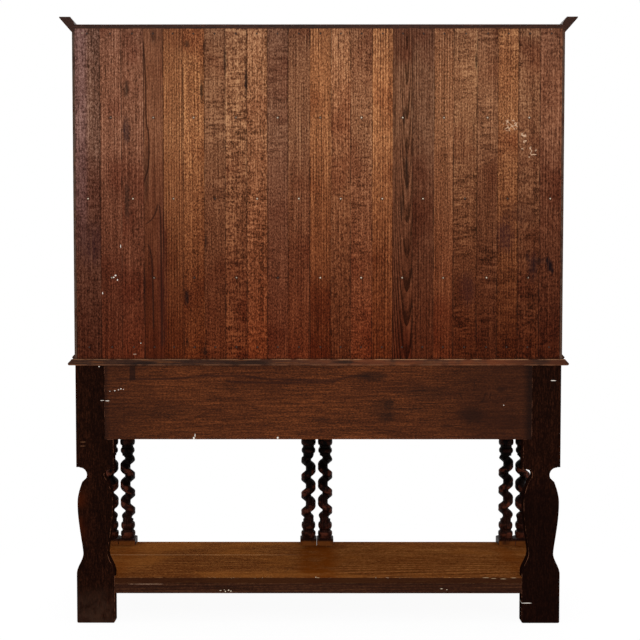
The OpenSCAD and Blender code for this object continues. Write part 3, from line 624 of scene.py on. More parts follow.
# Ends and front of the drawer frame: plain dark panels let in between legs and posts, a
# rail over the drawers, and a flat blade below with an apron sawn in a long low arch.
frame_wood = {axis: oak("dark_frame_oak_" + "xyz"[axis], "frame_oak", axis,
                        ("1c0e09", "301a11", "4a2a1b"), (0.05, 0.3, 0.02, 0.0), lines=0.45,
                        rays=0.15, grit=0.6, wear_and_highlight_tone="6b4229", specular=0.10, rough=0.48)
              for axis in range(3)}
apron_rise, apron_run, apron_t, blade_under = 0.020, 0.060, 0.020, 0.640
for node in ("pot_rail_end_left", "pot_rail_end_right", "pot_bearer"):
    whole_board(node, 1, frame_wood[1])
for word in ("left", "right"):
    whole_board("end_panel_" + word, 1, frame_wood[1], width=0.0018)
    whole_board("top_rail_" + word, 0, frame_wood[0])
    low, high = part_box("apron_rail_" + word)
    board("blade_" + word, (low.x, low.y, blade_under), high, 0, frame_wood[0],
          "apron_rail_" + word)
    arch = [(low.x, low.z), *arc(low.x + apron_run, low.z, apron_rise, 180, 90, 8),
            *arc(high.x - apron_run, low.z, apron_rise, 90, 0, 8),
            (high.x, low.z), (high.x, blade_under), (low.x, blade_under)]
    apron = sawn(bmesh.new(), 1, low.y, low.y + apron_t, arch)
    fit(ease(apron, 0.0014), "arched_apron_" + word, frame_wood[0], "apron_rail_" + word)


# Runners and kickers: plain unfinished oak inside the frame. A drawer slides on the
# runners between guides, stops against blocks behind it, and can't tip under the kickers.
bare_wood = {axis: oak("bare_oak_" + "xyz"[axis], "drawer_oak", axis,
                       ("8a6a45", "b08c60", "cdae82"), (0.1, 0.5, 0.02, 0.0), lines=0.35,
                       rays=0.2, grit=0.6, wear_and_highlight_tone="c9a878", specular=0.2, rough=0.65)
             for axis in range(3)}
run_top, run_under, guide_top, stop_front, runner_w = 0.660, 0.640, 0.676, 0.1924, 0.024
rail_face, kick_under = rail_lo.y, 0.818


def bare_length(name, node, ends, front, low, high, cuts=()):
    """Bare oak between two places across the frame, which runs back to the rail."""
    board(name, (min(ends), front, low), (max(ends), rail_face, high), 1, bare_wood[1], node,
          cuts=cuts)


for side, word in ((-1, "left"), (1, "right")):
    inner, face, outer = [side * (bay_out + out) for out in (-runner_w, 0.0, runner_w)]
    leg_x = sorted((face, side * beyond))
    leg_cut = [((leg_x[0], leg_front, 0.0), (leg_x[1], 1.0, 1.0))]
    for kind, ends, front, low, high in (("runner_", (inner, outer), post_back, run_under, run_top),
                                         ("guide_", (face, outer), post_back, run_top, guide_top),
                                         ("stop_", (inner, face), stop_front, run_top, guide_top)):
        bare_length(kind + word, "runner_" + word, ends, front, low, high, leg_cut)
    bare_length("kicker_" + word, "kickers", (inner, face), post_back, kick_under, post_top)
    bare_length("stop_inner_" + word, "runner_centre", (side * bay_in, side * (bay_in + runner_w)),
                stop_front, run_top, guide_top)
for name, node, half, low, high in (
        ("runner_middle", "runner_centre", bay_in + runner_w, run_under, run_top),
        ("guide_middle", "runner_centre", bay_in, run_top, guide_top),
        ("kicker_middle", "kickers", bay_in + runner_w, kick_under, post_top)):
    bare_length(name, node, (-half, half), post_back, low, high)


# Table top: three oak boards glued edge to edge, 20 mm thick. A moulding is worked along
# the front and both ends: a slope from the arris down to a small rounded nose.
edge_steps = [(0.0070, 0.0), (0.0095, 0.0007), (0.0113, 0.0025), (0.0120, 0.0050),
              (0.0113, 0.0075), (0.0095, 0.0093), (0.0020, 0.0170), (0.0, 0.0200)]
table_joints = (-0.240, -0.078, 0.086, 0.240)


def table_marks(place, colour):
    """The back edge shows brown and black streaks between two arrises rubbed light, the upper one with
    a painted highlight too.
    """
    back = place.along(1, 0.2375, 0.2392)
    golden = place.along(0, 0.25, -0.15) * place.noise(14.0, 3.0).between(0.3, 0.55)
    far_side = place.along(0, -0.1, 0.3)
    streak = place.stretched((0.06, 1.0, 1.0)).noise(150.0, 3.0, 0.7)
    black = place.stretched((0.25, 1.0, 1.0)).noise(9.0, 3.0, 0.6).between(0.48, 0.6)
    smears = [(back * spot(place, *oval, 0.7).between(1.1, 0.6) * 0.65, "160d0a") for oval in
              ((560, 848, 50, 8), (228, 850, 85, 6), (-84, 853, 42, 5))]
    # The upper arris is rubbed light, with a painted highlight along it.
    rub_and_highlight = place.along(2, 0.8590, 0.8612) * place.noise(26.0, 3.0).between(0.34, 0.56)
    rub_and_highlight = rub_and_highlight * (place.along(0, 0.30, -0.10) * 0.40 + 0.45)
    lower = place.along(2, 0.8465, 0.8440) * place.noise(21.0, 3.0).between(0.36, 0.56)
    return coats(colour, (back * 0.55, "3c2218"), (back * golden * 0.8, "60301a"),
                 (back * far_side * 0.6, "1d0f0b"),
                 (back * streak.between(0.52, 0.64) * 0.4, "74421f"),
                 (back * streak.between(0.48, 0.36) * 0.5, "1a0e0a"),
                 (back * black * (far_side * 0.3 + 0.5), "1a0e0a"), *smears,
                 (back * rub_and_highlight, "9a7252"), (back * lower * 0.5, "7a4f35"))


table_oak = oak("table_oak", "frame_oak", 0, ("2d170d", "50301f", "84583a"), (0.0, 0.7, 0.02, 0.0),
                rings=0.010, lines=0.55, rays=0.1, grit=0.6, wear_and_highlight_tone="7e5439", specular=0.06,
                rough=0.42, marks=table_marks)
table_lo, table_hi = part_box("table_top")
nose = edge_steps[3][0]
for number, (near, far) in enumerate(zip(table_joints, table_joints[1:])):
    layers = []
    for out, up in edge_steps:
        x = table_hi.x - nose + out
        low = table_lo.y + nose - out if number == 0 else near + 0.0002
        high = far if number == 2 else far - 0.0002
        xs = [-x + 2 * x * i / 14 for i in range(15)]
        layers.append([(u, low, table_lo.z + up) for u in xs] +
                      [(u, high, table_lo.z + up) for u in reversed(xs)])
    fit(ease(loft(bmesh.new(), layers), 0.0012), "table_board_%d" % (number + 1), table_oak,
        "table_top")


# Plate rack: two sides and a top board of 20 to 22 mm oak, rebated for the back boards.
# The sides are housed for the shelves and stand on dowels. Outside they are waxed dark,
# and the raw back edges have gone grey.
board_front, board_back, board_x, boards_end = 0.227, 0.237, 0.7795, 1.919
side_within, housing_x, housing_front, rebate_foot = 0.70, 0.7715, 0.014, 0.80
dowel_x, dowel_ys = 0.7765, (0.049, 0.190)
# From foot to top: the dowel's radius, and its height over the floor.
dowel_profile = [(0.0028, 0.8425), (0.004, 0.844), (0.004, 0.880), (0.0028, 0.8815)]
shelf_lows, shelf_t = [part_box("shelf_" + word)[0].z for word in ("low", "middle", "high")], 0.018


def rack_marks(place, colour):
    """The back edges gone grey, and the sides darker from the top board's height up."""
    edge = place.along(1, 0.2335, 0.2365)
    grey = edge * abs(place.axis(0)).between(0.776, 0.78) * place.along(2, 1.92, 1.90)
    return coats(colour, (grey * place.noise(30.0, 3.0).between(0.3, 0.6) * 0.7, "4a3a30"),
                 (place.along(2, 1.905, 1.915) * 0.5, "150c08"))


def turned(bm, centre, axis, profile, sides, closed=False):
    """A form turned round an axis, from circles that each have a radius and a place on it."""
    return loft(bm, [[Vector(centre) + point for point in
                      station(axis, at, arc(0.0, 0.0, radius, 0, 360, sides)[:-1])]
                     for radius, at in profile], closed)


rack_oak = oak("rack_side_oak", "frame_oak", 2, ("1c0f09", "371e13", "5c3a26"), (0.9, 0.4, 0.03, 1.0),
               lines=0.45, rays=0.2, grit=0.7, wear_and_highlight_tone="6f4c36", specular=0.08, rough=0.5,
               marks=rack_marks)
for side, word in ((-1, "left"), (1, "right")):
    low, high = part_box("rack_side_" + word)
    rebate = sorted((side * side_within, side * board_x))
    inner = sorted((side * side_within, side * housing_x))
    rack = plank(bmesh.new(), low, high, 2)
    carve(rack, ((rebate[0], board_front, rebate_foot), (rebate[1], clear, 2.0)))
    carve(rack, *[((inner[0], housing_front, z), (inner[1], board_back, z + shelf_t))
                  for z in shelf_lows])
    fit(ease(rack, 0.0012), "rack_side_board_" + word, rack_oak, "rack_side_" + word)
whole_board("rack_top", 0, frame_wood[0],
            cuts=[((-board_x, board_front, 1.90), (board_x, clear, boards_end))])
pins = bmesh.new()
for x in (-dowel_x, dowel_x):
    for y in dowel_ys:
        turned(pins, (x, y, 0.0), 2, dowel_profile, 16)
fit(pins, "rack_side_dowels", bare_wood[2], "rack_dowels")


# Shelves and nailing rails: brown oak, worn by plates. Each shelf is grooved along its
# back to stand plates on edge, and the rails take the nails at both ends of the boards.
shelf_oak = oak("shelf_oak", "shelf_oak", 0, ("3a2113", "5e3a23", "8a5d3c"), (0.1, 1.0, 0.03, 0.0),
                rings=0.009, lines=0.5, rays=0.2, grit=0.7, wear_and_highlight_tone="94684a", specular=0.12, rough=0.5)
for word in ("low", "middle", "high"):
    low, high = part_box("shelf_" + word)
    groove = ((-0.7655, 0.172, high.z - 0.003), (0.7655, 0.179, high.z + 0.01))
    board("grooved_shelf_" + word, low, high, 0, shelf_oak, "shelf_" + word, cuts=[groove])
low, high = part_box("nail_rails")
foot_rail_top, head_rail_foot = 0.922, 1.853
board("nail_rail_foot", low, (high.x, high.y, foot_rail_top), 0, shelf_oak, "nail_rails")
board("nail_rail_head", (low.x, low.y, head_rail_foot), high, 0, shelf_oak, "nail_rails")


# Frieze: an 18 mm board between the sides, under the cornice. Seven shallow arches are
# sawn in its lower edge.
frieze_lo, frieze_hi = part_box("rack_frieze")
arch_count, arch_rise, arch_share = 7, 0.022, 0.42
pitch = (frieze_hi.x - frieze_lo.x) / arch_count
half = pitch * arch_share
arch_radius = (half * half + arch_rise * arch_rise) / (2 * arch_rise)
edge = [(frieze_lo.x, frieze_lo.z)]
for i in range(arch_count):
    for j in range(13):
        u = half * (j / 6 - 1)
        rise = arch_rise - arch_radius + math.sqrt(arch_radius ** 2 - u * u)
        edge.append((frieze_lo.x + pitch * (i + 0.5) + u, frieze_lo.z + rise))
edge += [(frieze_hi.x, frieze_lo.z), (frieze_hi.x, frieze_hi.z), (frieze_lo.x, frieze_hi.z)]
frieze = sawn(bmesh.new(), 1, frieze_lo.y, frieze_hi.y, edge)
fit(ease(frieze, 0.0012), "arched_frieze", frame_wood[0], "rack_frieze")


# Cornice: a flared oak moulding, mitred at the front corners and cut square at the back,
# glued round the rack's top with its lip standing above the top board.
cornice_profile = [(0.0, 0.0), (0.040, 0.0455), (0.040, 0.049), (0.005, 0.049),
                   (-0.009, 0.029), (-0.009, 0.025), (0.0, 0.025)]
rack_x, rack_front_y, rack_back_y, cornice_z = 0.7875, 0.002, 0.237, 1.908


def mitre(x, y, side):
    """The cornice's outline where two lengths meet in a mitre."""
    return [(x + side * out, y - out, cornice_z + up) for out, up in cornice_profile]


def run_on(start, stop, count):
    """Equal steps of a moulding's outline from one end of a length to the other."""
    return [[Vector(p).lerp(Vector(q), i / count) for p, q in zip(start, stop)]
            for i in range(count + 1)]


front = run_on(mitre(-rack_x, rack_front_y, -1), mitre(rack_x, rack_front_y, 1), 14)
fit(ease(loft(bmesh.new(), front), 0.0009), "cornice_front_length", frame_wood[0],
    "cornice_front")
for side, word in ((-1, "left"), (1, "right")):
    start = mitre(side * rack_x, rack_front_y, side)
    lengths = run_on(start, [(x, rack_back_y, z) for x, y, z in start], 3)
    fit(ease(loft(bmesh.new(), lengths), 0.0009), "cornice_return_" + word, frame_wood[1],
        "cornice_" + word)


# Foot mouldings: a small stepped strip covers the joint of each rack side and the table.
strip_steps = [(0.0, 0.0), (0.004, 0.0), (0.008, 0.0054), (0.008, 0.0070), (0.0, 0.0155)]
strips, strip_end_y = bmesh.new(), 0.2369
for side in (-1, 1):
    sawn(strips, 1, rack_front_y, strip_end_y,
         [(side * (rack_x + out), 0.862 + up) for out, up in strip_steps], 3)
fit(ease(strips, 0.0006), "rack_foot_strips", frame_wood[1], "rack_foot_mouldings")


# Back boards: 23 oak boards of random width, tongued and grooved, nailed on dry and never
# polished. They are paler above and darken and redden towards the table: the reddening is
# their own, and the darkening partly painted shade. Some have flat arched grain, others
# straight lines or flecks of ray.
tones = {"plum": "664436", "russet": "724835", "golden": "8a5737", "amber": "805338",
         "brown": "764b33", "umber": "684330", "rust": "704530"}
# The dark grain is redder than the board's tone, and the pale grain greyer.
grain_shares = [(0.51, 0.46, 0.38), (1.0, 0.98, 0.95), (1.40, 1.56, 1.62)]
# Each board's relative width, its tone, how light it is, how much its foot has darkened, and
# how strong its lines, rays and grit are.
boards = [
    (80, "plum", 0.96, 0.65, 0.2, 0.5, 1.4), (68, "russet", 1.01, 0.63, 0.4, 0.1, 1.2),
    (72, "russet", 0.99, 0.35, 0.4, 0.1, 1.1), (62, "rust", 0.97, 0.63, 0.1, 0.0, 0.7),
    (64, "golden", 0.93, 0.75, 0.7, 0.0, 1.1), (68, "golden", 0.97, 0.73, 0.3, 0.2, 1.5),
    (67, "brown", 0.91, 0.35, 0.1, 0.8, 1.6), (69, "amber", 0.95, 0.45, 0.1, 0.9, 1.6),
    (66, "amber", 1.00, 0.20, 0.2, 0.7, 1.5), (66, "umber", 0.98, 0.00, 0.2, 0.6, 1.4),
    (70, "brown", 0.94, 0.00, 0.5, 0.3, 1.3), (68, "golden", 1.01, 0.71, 0.8, 0.0, 1.1),
    (63, "amber", 1.06, 0.87, 0.5, 0.2, 1.3), (69, "brown", 0.99, 0.00, 0.3, 0.6, 1.5),
    (66, "golden", 1.03, 0.79, 0.8, 0.0, 1.1), (63, "umber", 1.06, 0.40, 1.5, 0.0, 0.7),
    (69, "umber", 0.97, 0.30, 0.6, 0.1, 1.0), (63, "amber", 1.00, 0.45, 0.7, 0.2, 1.2),
    (75, "amber", 0.94, 0.70, 0.3, 0.7, 1.4), (66, "brown", 0.96, 0.79, 0.3, 0.7, 1.4),
    (66, "golden", 0.93, 1.00, 0.4, 0.5, 1.4), (69, "brown", 0.92, 0.65, 0.3, 0.6, 1.4),
    (70, "rust", 0.96, 0.88, 0.4, 0.4, 1.3)]
arched_board, knotty_board = 16, 4
boards_foot, gap, tongue, tongue_t = 0.862, 0.0006, 0.005, 0.003
# Heights of the nails, in millimetres: the shelves' rows take every second board.
nail_rows, nail_ends = [(1378.5,), (1125, 1637)], (1903.5, 901)
# Stains and knots: x, z, half the width, half the height, the stain's colour, its strength.
stains = [
    (614, 1727, 10, 34, "1f1610", 0.70), (615, 1594, 13, 50, "1a1418", 0.75),
    (614, 1372, 12, 80, "211712", 0.60), (552, 1460, 11, 90, "231812", 0.60),
    (527, 1895, 10, 26, "24140e", 0.80), (500, 1150, 18, 300, "381410", 0.50),
    (560, 1110, 4, 45, "120b0a", 0.85), (365, 1864, 5, 24, "120c0a", 0.85),
    (298, 1817, 6, 60, "1c1410", 0.70), (231, 1745, 6, 50, "140f10", 0.80),
    (420, 1870, 10, 14, "2a1d14", 0.70), (374, 1720, 7, 40, "1d140e", 0.70),
    (425, 1063, 11, 30, "150d0c", 0.75), (362, 1240, 6, 30, "1c100c", 0.70),
    (422, 915, 6, 22, "190d09", 0.70), (367, 888, 10, 16, "190d09", 0.75),
    (-275, 1640, 5, 40, "1c1009", 0.70), (-283, 1465, 6, 90, "170f0a", 0.80),
    (-268, 1350, 7, 50, "1d120c", 0.60), (-505, 1820, 5, 36, "120c09", 0.85),
    (-497, 1580, 4, 60, "20130c", 0.60), (-600, 1262, 34, 60, "2c1418", 0.60),
    (-480, 1090, 30, 62, "2b1212", 0.55), (-690, 1160, 18, 52, "2a1414", 0.55),
    (-746, 1161, 11, 22, "150b0c", 0.95), (-712, 1178, 18, 13, "1a0d0d", 0.70),
    (-737, 1181, 9, 13, "150b0c", 0.90), (-753, 1146, 6, 12, "150b0c", 0.90),
    (-690, 1165, 11, 26, "1f1010", 0.60), (-672, 1192, 7, 18, "1f1010", 0.70),
    (720, 1230, 60, 80, "2b161b", 0.40), (-640, 1330, 60, 40, "3a1d16", 0.40)]
specks = [(636, 1226, 1.3, 7), (653, 1132, 3.5, 3), (659, 1126, 3, 2), (647, 1118, 2, 3),
          (695, 1075, 1.3, 4), (573, 914, 2, 1.3)]
dim_specks = [(592, 878, 6, 2), (754, 1905, 4, 2), (-744, 1917, 3, 2)]
scuffs = [(-616, 1612, 26, 21), (-655, 1562, 17, 30), (-684, 1527, 18, 22)]
# Dark lines that run round two knots of the fourth board from the left, seen from behind.
knot_lines = [[(1360, 568), (1420, 562), (1500, 544), (1560, 543), (1640, 552), (1760, 553),
               (1900, 563)], [(1294, 563), (1300, 550), (1320, 530), (1362, 516)],
              [(900, 504), (1100, 505), (1250, 506), (1330, 508), (1362, 515)],
              [(960, 532), (1120, 534), (1200, 538), (1236, 561)]]


def shaded(code, light, shares):
    """The same tone with its red, green and blue raised or lowered."""
    parts = [int(code[i:i + 2], 16) * light * share for i, share in zip((0, 2, 4), shares)]
    return "".join("%02x" % min(255, round(part)) for part in parts)


def board_marks(left, right, row, foot_darkening, knotty):
    """The paint for one board: paler above, darker and red-brown below, the darkening partly painted
    shade, with its own stains and nails, and a painted shadow along its foot.
    """

    def on_board(x, spare=0.0):
        return left * 1000 - spare < x < right * 1000 + spare

    def paint(place, colour):
        plain, centre = colour, (left + right) / 2
        height = place.axis(2) + (place.stretched((1.0, 1.0, 0.15)).noise(8.0, 2.0) - 0.5) * 0.2
        # Darker and redder towards the foot: the darkening is partly painted shade, the reddening the
        # board's own; each foot is darkened further by its own share.
        shade_and_reddening_below = ((1.57 - height) / 0.70).math("MAXIMUM", 0.0).math("POWER", 0.72)
        blotch = place.moved((left * 3.0, 0.0, 0.0)).noise(4.0, 3.0).between(0.47, 0.68)
        for cover, code in ((shade_and_reddening_below, "cd9376"), (shade_and_reddening_below * foot_darkening, "a0a0a0"), (blotch * 0.6, "bb8a7c"),
                            (height.between(1.76, 1.92) * 0.5, "dcdfea")):
            colour = cover.blend(colour, tint(code), way="MULTIPLY")
        if row == 0 and right > 0.77:
            grey = place.along(0, 0.730, 0.755) * height.between(1.15, 1.35)
            colour = (grey * 0.25).blend(colour, tint("5b4148"), way="COLOR")
        streaks = place.stretched((1.0, 1.0, 0.03)).noise(210.0, 2.0, 0.6).between(0.40, 0.58)
        layers = []
        for *oval, tone, strength in stains:
            if on_board(oval[0], 0.3 * oval[2]):
                stain = spot(place, *oval, 0.9).between(1.25, 0.3)
                layers.append((stain * (streaks * (0.5 * strength) + 0.6 * strength), tone))
        for points in knot_lines if knotty else ():
            layers.append((drawn(place, points, 0.0035) * 0.8, "24110b"))
        for z in nail_rows[row] + nail_ends:
            wide = 4.0 if z in nail_ends else 5.6
            halo = spot(place, centre * 1000, z, wide, wide * 1.1, 0.5).between(1.1, 0.6)
            layers.append((halo * 0.6, "180e0a"))
        for scuff in scuffs:
            if on_board(scuff[0], scuff[2]):
                curl = abs(place.noise(52.0, 1.0) - 0.5).between(0.035, 0.012)
                layers.append((curl * spot(place, *scuff, 0.6).between(1.0, 0.8) * 0.8, "c9a688"))
        colour = coats(colour, *layers)
        colour = splash(place, colour, [speck for speck in specks if on_board(speck[0])])
        colour = splash(place, colour, [speck for speck in dim_specks if on_board(speck[0])], "8a6f5e")
        seam = abs(place.axis(0) - centre).between((right - left) / 2 - 0.003, (right - left) / 2)
        seam = seam * place.noise(17.0, 2.0).between(0.35, 0.65)
        # Dark joints at the board's edges, and a painted shadow along its foot on the table.
        colour = coats(colour, (seam * 0.7, "1d110c"), (place.along(2, 0.870, 0.863) * 0.4, "1d0f09"))
        inside = place.along(1, 0.2362, 0.2335)
        return inside.blend(colour, (inside * 0.6).blend(plain, tint("6b4630"), way="MULTIPLY"))

    return paint


widths = [board_wide for board_wide, *looks in boards]
edges = [board_x - 2 * board_x * sum(widths[:n]) / sum(widths) for n in range(len(boards) + 1)]
middle_y, tongue_y, groove_y = (board_front + board_back) / 2, tongue_t / 2, (tongue_t + gap) / 2
for n, (board_wide, tone, light, foot_darkening, lines, rays, grit) in enumerate(boards):
    left, right = edges[n + 1] + gap / 2, edges[n] - gap / 2
    deep = right - tongue - gap / 2
    outline = [(left, board_front), (right, board_front)]
    if n > 0:
        outline += [(right, middle_y - groove_y), (deep, middle_y - groove_y),
                    (deep, middle_y + groove_y), (right, middle_y + groove_y)]
    outline += [(right, board_back), (left, board_back)]
    if n < len(boards) - 1:
        outline += [(left, middle_y + tongue_y), (left - tongue, middle_y + tongue_y),
                    (left - tongue, middle_y - tongue_y), (left, middle_y - tongue_y)]
    chance = random.Random(n)
    heart = (left + chance.choice((-1, 1)) * chance.uniform(0.15, 0.5), 0.20, 0.01, 1.4)
    kind = {"rings": 0.0085, "squeeze": 1.0}
    if n + 1 == arched_board:
        heart, kind = (left + 0.016, board_back, 0.10, 1.96), {"rings": 0.011, "squeeze": 2.2}
    oak_board = oak("back_board_oak_%02d" % (n + 1), "board_oak", 2,
                    [shaded(tones[tone], light, shares) for shares in grain_shares], heart,
                    lines=lines, rays=rays, grit=grit, wear_and_highlight_tone="8a5c40", specular=0.03, rough=0.75,
                    marks=board_marks(left, right, n % 2, foot_darkening, n + 1 == knotty_board), **kind)
    fit(ease(sawn(bmesh.new(), 2, boards_foot, boards_end, outline, 10), 0.0009, 0.00035),
        "back_board_%02d" % (n + 1), oak_board, "back_boards")


# Nails: small wire nails, a row at each end of the boards and one at each shelf, where
# they take every second board. The domed heads are rusty and rubbed bright on top.
iron, place = start_material("nail_head_iron")
rust = place.noise(180.0, 3.0, 0.7)
bright = place.noise(60.0, 1.0).between(0.40, 0.58) * abs(place.axis(2) - 1.4).between(0.44, 0.36)
finish_material(iron, bright.blend(tint("2d1a12"), tint("b8a48e")), rust * 0.3 + 0.5, rust,
                0.0002, 0.3)
# From the point to the top of the head: the radius, and how far it stands off the boards.
nail_profile = [(0.0009, -0.024), (0.0009, -0.0006), (0.0026, -0.0004), (0.0026, 0.0002),
                (0.00195, 0.0006), (0.00078, 0.0008)]
nails = bmesh.new()
for n in range(len(boards)):
    for z in nail_rows[n % 2] + nail_ends:
        turned(nails, ((edges[n] + edges[n + 1]) / 2, board_back, z / 1000), 1, nail_profile, 12)
fit(nails, "nail_heads", iron, "board_nails")


# Drawers: a brown oak front lapped over 10 mm sides, a back between the sides, and a thin
# bottom slid into grooves from behind. Two mitred frames of half-round moulding are
# planted on each front, dark as the frame.
front_oak = oak("drawer_front_oak", "shelf_oak", 0, ("3a2013", "5e3723", "835338"),
                (0.0, 0.55, 0.02, 0.0), rings=0.009, lines=0.5, rays=0.2, grit=0.6,
                wear_and_highlight_tone="8a5c40", specular=0.2, rough=0.42)
bead_oak = oak("bead_oak", "frame_oak", 0, ("1c0e09", "301a11", "4a2a1b"), (0.0, 0.3, 0.0, 0.0),
               lines=0.2, rays=0.0, wear_and_highlight_tone="75482f", specular=0.4, rough=0.38)
margin, bead_w, bead_h, lap, side_t = 0.018, 0.012, 0.007, 0.012, 0.010
panel_low, panel_high, panel_in = 0.6694, 0.6754, 0.005
bead_section = [(bead_w / 2 * (1 - math.cos(math.radians(t))), bead_h * math.sin(math.radians(t)))
                for t in range(0, 181, 15)]
pulls = {}
for word in ("left", "right"):
    drawer = word + "_drawer"
    low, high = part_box(drawer + "_front")
    side_top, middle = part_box(drawer + "_side_a")[1].z, (low.x + high.x) / 2
    laps = [((low.x - 1.0, high.y - lap, 0.0), (low.x + side_t, 1.0, side_top)),
            ((high.x - side_t, high.y - lap, 0.0), (high.x + 1.0, 1.0, side_top)),
            ((low.x + side_t, high.y - panel_in, panel_low), (high.x - side_t, 1.0, panel_high))]
    whole_board(drawer + "_front", 0, front_oak, width=0.0015, body=drawer, cuts=laps)
    for letter in "ab":
        a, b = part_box(drawer + "_side_" + letter)
        groove = sorted((a.x - 0.01, a.x + panel_in) if a.x > middle else
                        (b.x - panel_in, b.x + 0.01))
        board(drawer + "_side_board_" + letter, a, b, 1, bare_wood[1],
              drawer + "_side_" + letter, width=0.0008, body=drawer,
              cuts=[((groove[0], -1.0, panel_low), (groove[1], 1.0, panel_high))])
    whole_board(drawer + "_back", 0, bare_wood[0], width=0.0008, body=drawer)
    board(drawer + "_bottom_panel", *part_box(drawer + "_bottom"), 0, bare_wood[0],
          drawer + "_bottom", width=0.0004, body=drawer)
    frames = bmesh.new()
    for letter, a, b in (("a", low.x + margin, middle - margin / 2),
                         ("b", middle + margin / 2, high.x - margin)):
        corners = [(a, low.z + margin, 1, 1), (b, low.z + margin, -1, 1),
                   (b, high.z - margin, -1, -1), (a, high.z - margin, 1, -1)]
        sections = [[(x + right * u, low.y - out, z + up * u) for u, out in bead_section]
                    for x, z, right, up in corners]
        loops = [loop for i in range(4)
                 for loop in run_on(sections[i], sections[(i + 1) % 4], 5)[:-1]]
        loft(frames, loops, closed=True)
        pulls[word + "_pull_" + letter] = ((a + b) / 2, drawer)
    worn = frames.faces.layers.float.new("worn")
    for face in frames.faces:
        out = low.y - face.calc_center_median().y
        face[worn] = min(1.0, max(0.0, (out - 0.0055) / 0.001))
    fit(frames, drawer + "_bead_frames", bead_oak, drawer + "_beads", body=drawer)


# Pulls: a cast brass bail swings in the knuckles of two turned posts, each on a round
# stepped plate. Handling keeps the bail bright, and the plates have dulled and browned.
hinge_y, hinge_z, post_span, knuckle_r, knuckle_half = -0.220, 0.75545, 0.035, 0.0055, 0.005
arm_x, bail_drop, bail_bend, rod, pin = 0.0444, 0.034, 0.012, 0.0029, 0.0022
drawer_face = low.y
# The radius, and the place in front of the drawer; then the radius, and the place across.
plate_profile = [(0.0110, 0.0), (0.0110, -0.0010), (0.0102, -0.0019), (0.0088, -0.0021),
                 (0.0080, -0.0016), (0.0070, -0.0016), (0.0062, -0.0026), (0.0050, -0.0034),
                 (0.0042, -0.0048), (0.0038, -0.0070), (0.0042, -0.0090)]
knuckle_profile = [(knuckle_r * share, knuckle_half * u) for share, u in
                   ((0.80, -1.0), (0.97, -0.86), (1.0, -0.5), (1.0, 0.0), (1.0, 0.5),
                    (0.97, 0.86), (0.80, 1.0))]
knuckle_profile += [(0.0023, knuckle_half), (0.0023, -knuckle_half)]
# Half a bail, from its end in the knuckle to the middle of the grip: the place across, the
# height over the hinge, and the radius.
bail_half = [(arm_x - 0.0085, 0.0, pin), (arm_x - 0.0040, 0.0, pin),
             (arm_x - 0.0030, 0.0, rod * 0.85), (arm_x - 0.0012, 0.0002, rod * 0.9),
             (arm_x, -0.0012, rod)]
bail_half += [(arm_x, -0.006 - 0.005 * i, rod) for i in range(4)]
bail_half += [(across, up, rod) for across, up in
              arc(arm_x - bail_bend, bail_bend - bail_drop, bail_bend, 0, -90, 7)]
bail_half += [(across, -bail_drop, rod * share) for across, share in
              ((0.024, 1.0), (0.018, 1.0), (0.0165, 1.22), (0.0150, 1.22), (0.0135, 1.0),
               (0.006, 1.14), (0.0, 1.2))]
whole_bail = [(-u, v, r) for u, v, r in bail_half] + bail_half[-2::-1]


def aged_brass(name, rub_and_highlight):
    """Yellow brass under a brown film, which handling has rubbed off the high parts."""
    material, place = start_material(name)
    film = place.noise(110.0, 4.0, 0.7).between(0.35 + 0.25 * rub_and_highlight, 0.62 + 0.25 * rub_and_highlight)
    fine = place.noise(900.0, 2.0)
    brass = place.noise(40.0).between(0.3, 0.7).blend(tint("c49a4e"), tint("b0853a"))
    return finish_material(material, film.blend(brass, tint("4a3418")),
                           film * 0.25 + fine * 0.15 + 0.2, fine + film, 0.0001, 0.5, 1.0)


def round_rod(bm, path, sides=14):
    """A round rod along points that each have a radius, and lie in one upright plane."""
    loops, level = [], Vector((0, 1, 0))
    for i, (point, radius) in enumerate(path):
        ahead = (path[min(i + 1, len(path) - 1)][0] - path[max(i - 1, 0)][0]).normalized()
        loops.append([point + level * out + ahead.cross(level) * up
                      for out, up in arc(0.0, 0.0, radius, 0, 360, sides)[:-1]])
    return loft(bm, loops)


plate_brass, bail_brass = aged_brass("plate_brass", 0.0), aged_brass("bail_brass", 1.0)
for word in ("left", "right"):
    plates = bmesh.new()
    for name, (x, drawer) in pulls.items():
        if drawer != word + "_drawer":
            continue
        for at in (x - post_span, x + post_span):
            turned(plates, (at, drawer_face, hinge_z), 1, plate_profile, 32)
            turned(plates, (at, hinge_y, hinge_z), 0, knuckle_profile, 32, closed=True)
        bail = round_rod(bmesh.new(), [(Vector((x + u, hinge_y, hinge_z + v)), r)
                                       for u, v, r in whole_bail])
        fit(bail, name + "_bail", bail_brass, drawer + name[-7:], body=name)
    fit(plates, word + "_drawer_plates", plate_brass, word + "_drawer_pull_posts",
        body=word + "_drawer")


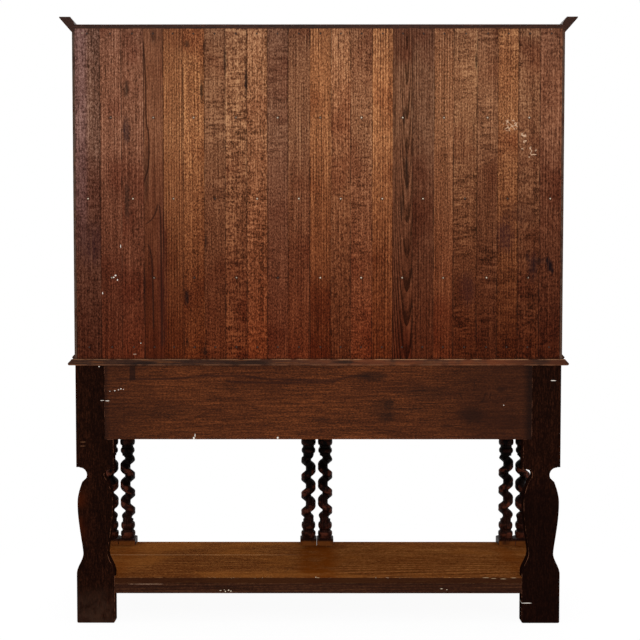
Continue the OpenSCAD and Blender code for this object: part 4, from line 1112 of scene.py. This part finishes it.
# Floor and light: a pale studio floor and soft lamps on all sides, highest at the back.
# The floor shows white to the camera, and keeps a soft shadow close round the feet.
floor_mesh = bpy.data.meshes.new("studio_floor")
floor_mesh.from_pydata([(-12, -12, 0), (12, -12, 0), (12, 12, 0), (-12, 12, 0)], [], [(0, 1, 2, 3)])
floor = set_up("studio_floor", floor_mesh)
floor_finish, place = start_material("studio_floor_paint")
tree = floor_finish.node_tree
seen = place.node("LightPath", {}, out=0)
mirrored = place.node("LightPath", {}, out=2)
away = place.stretched((1.0, 1.6, 1.0)).length().between(0.9, 1.7)
paint = tree.nodes["Principled BSDF"]
for key, value in (("Base Color", (0.92, 0.92, 0.92, 1.0)), ("Roughness", 0.9),
                   ("Specular IOR Level", 0.0)):
    paint.inputs[key].default_value = value
glow = place.node("Emission", {"Color": (1.0, 1.0, 1.0, 1.0), "Strength": 1.0})
share = seen * (away * 0.05 + 0.95)
both = share.node("MixShader", {0: share.math("MAXIMUM", mirrored)})
tree.links.new(paint.outputs[0], both.socket.node.inputs[1])
tree.links.new(glow.socket, both.socket.node.inputs[2])
tree.links.new(both.socket, tree.nodes["Material Output"].inputs[0])
floor_mesh.materials.append(floor_finish)

world = bpy.data.worlds.new("studio")
world.use_nodes = True
bpy.context.scene.world = world
tree = world.node_tree
seen = Flow(tree, tree.nodes.new("ShaderNodeLightPath").outputs[0])
reflected = seen.node("LightPath", {}, out=2)
through = seen.node("LightPath", {}, out=7)
white = seen.math("MAXIMUM", reflected).math("MAXIMUM", through)
background = tree.nodes["Background"]
background.inputs["Color"].default_value = (1.0, 1.0, 1.0, 1.0)
tree.links.new((white * 0.4 + 0.6).socket, background.inputs["Strength"])
lit_point = Vector((0.0, 0.0, 1.0))
for name, spot_at, size, power in (("high_back", (0.3, 3.4, 3.0), 2.4, 42.0),
                                   ("high_front", (-0.4, -3.4, 3.0), 2.4, 42.0),
                                   ("left_side", (-3.4, 0.3, 2.0), 2.0, 20.0),
                                   ("right_side", (3.4, 0.3, 2.0), 2.0, 20.0),
                                   ("overhead", (0.0, 0.2, 4.4), 2.4, 20.0)):
    lamp = bpy.data.lights.new(name, "AREA")
    lamp.shape, lamp.size, lamp.energy = "DISK", size, power
    set_up(name, lamp).matrix_world = aimed(spot_at, lit_point - Vector(spot_at))
bpy.context.scene.view_settings.view_transform = "Standard"
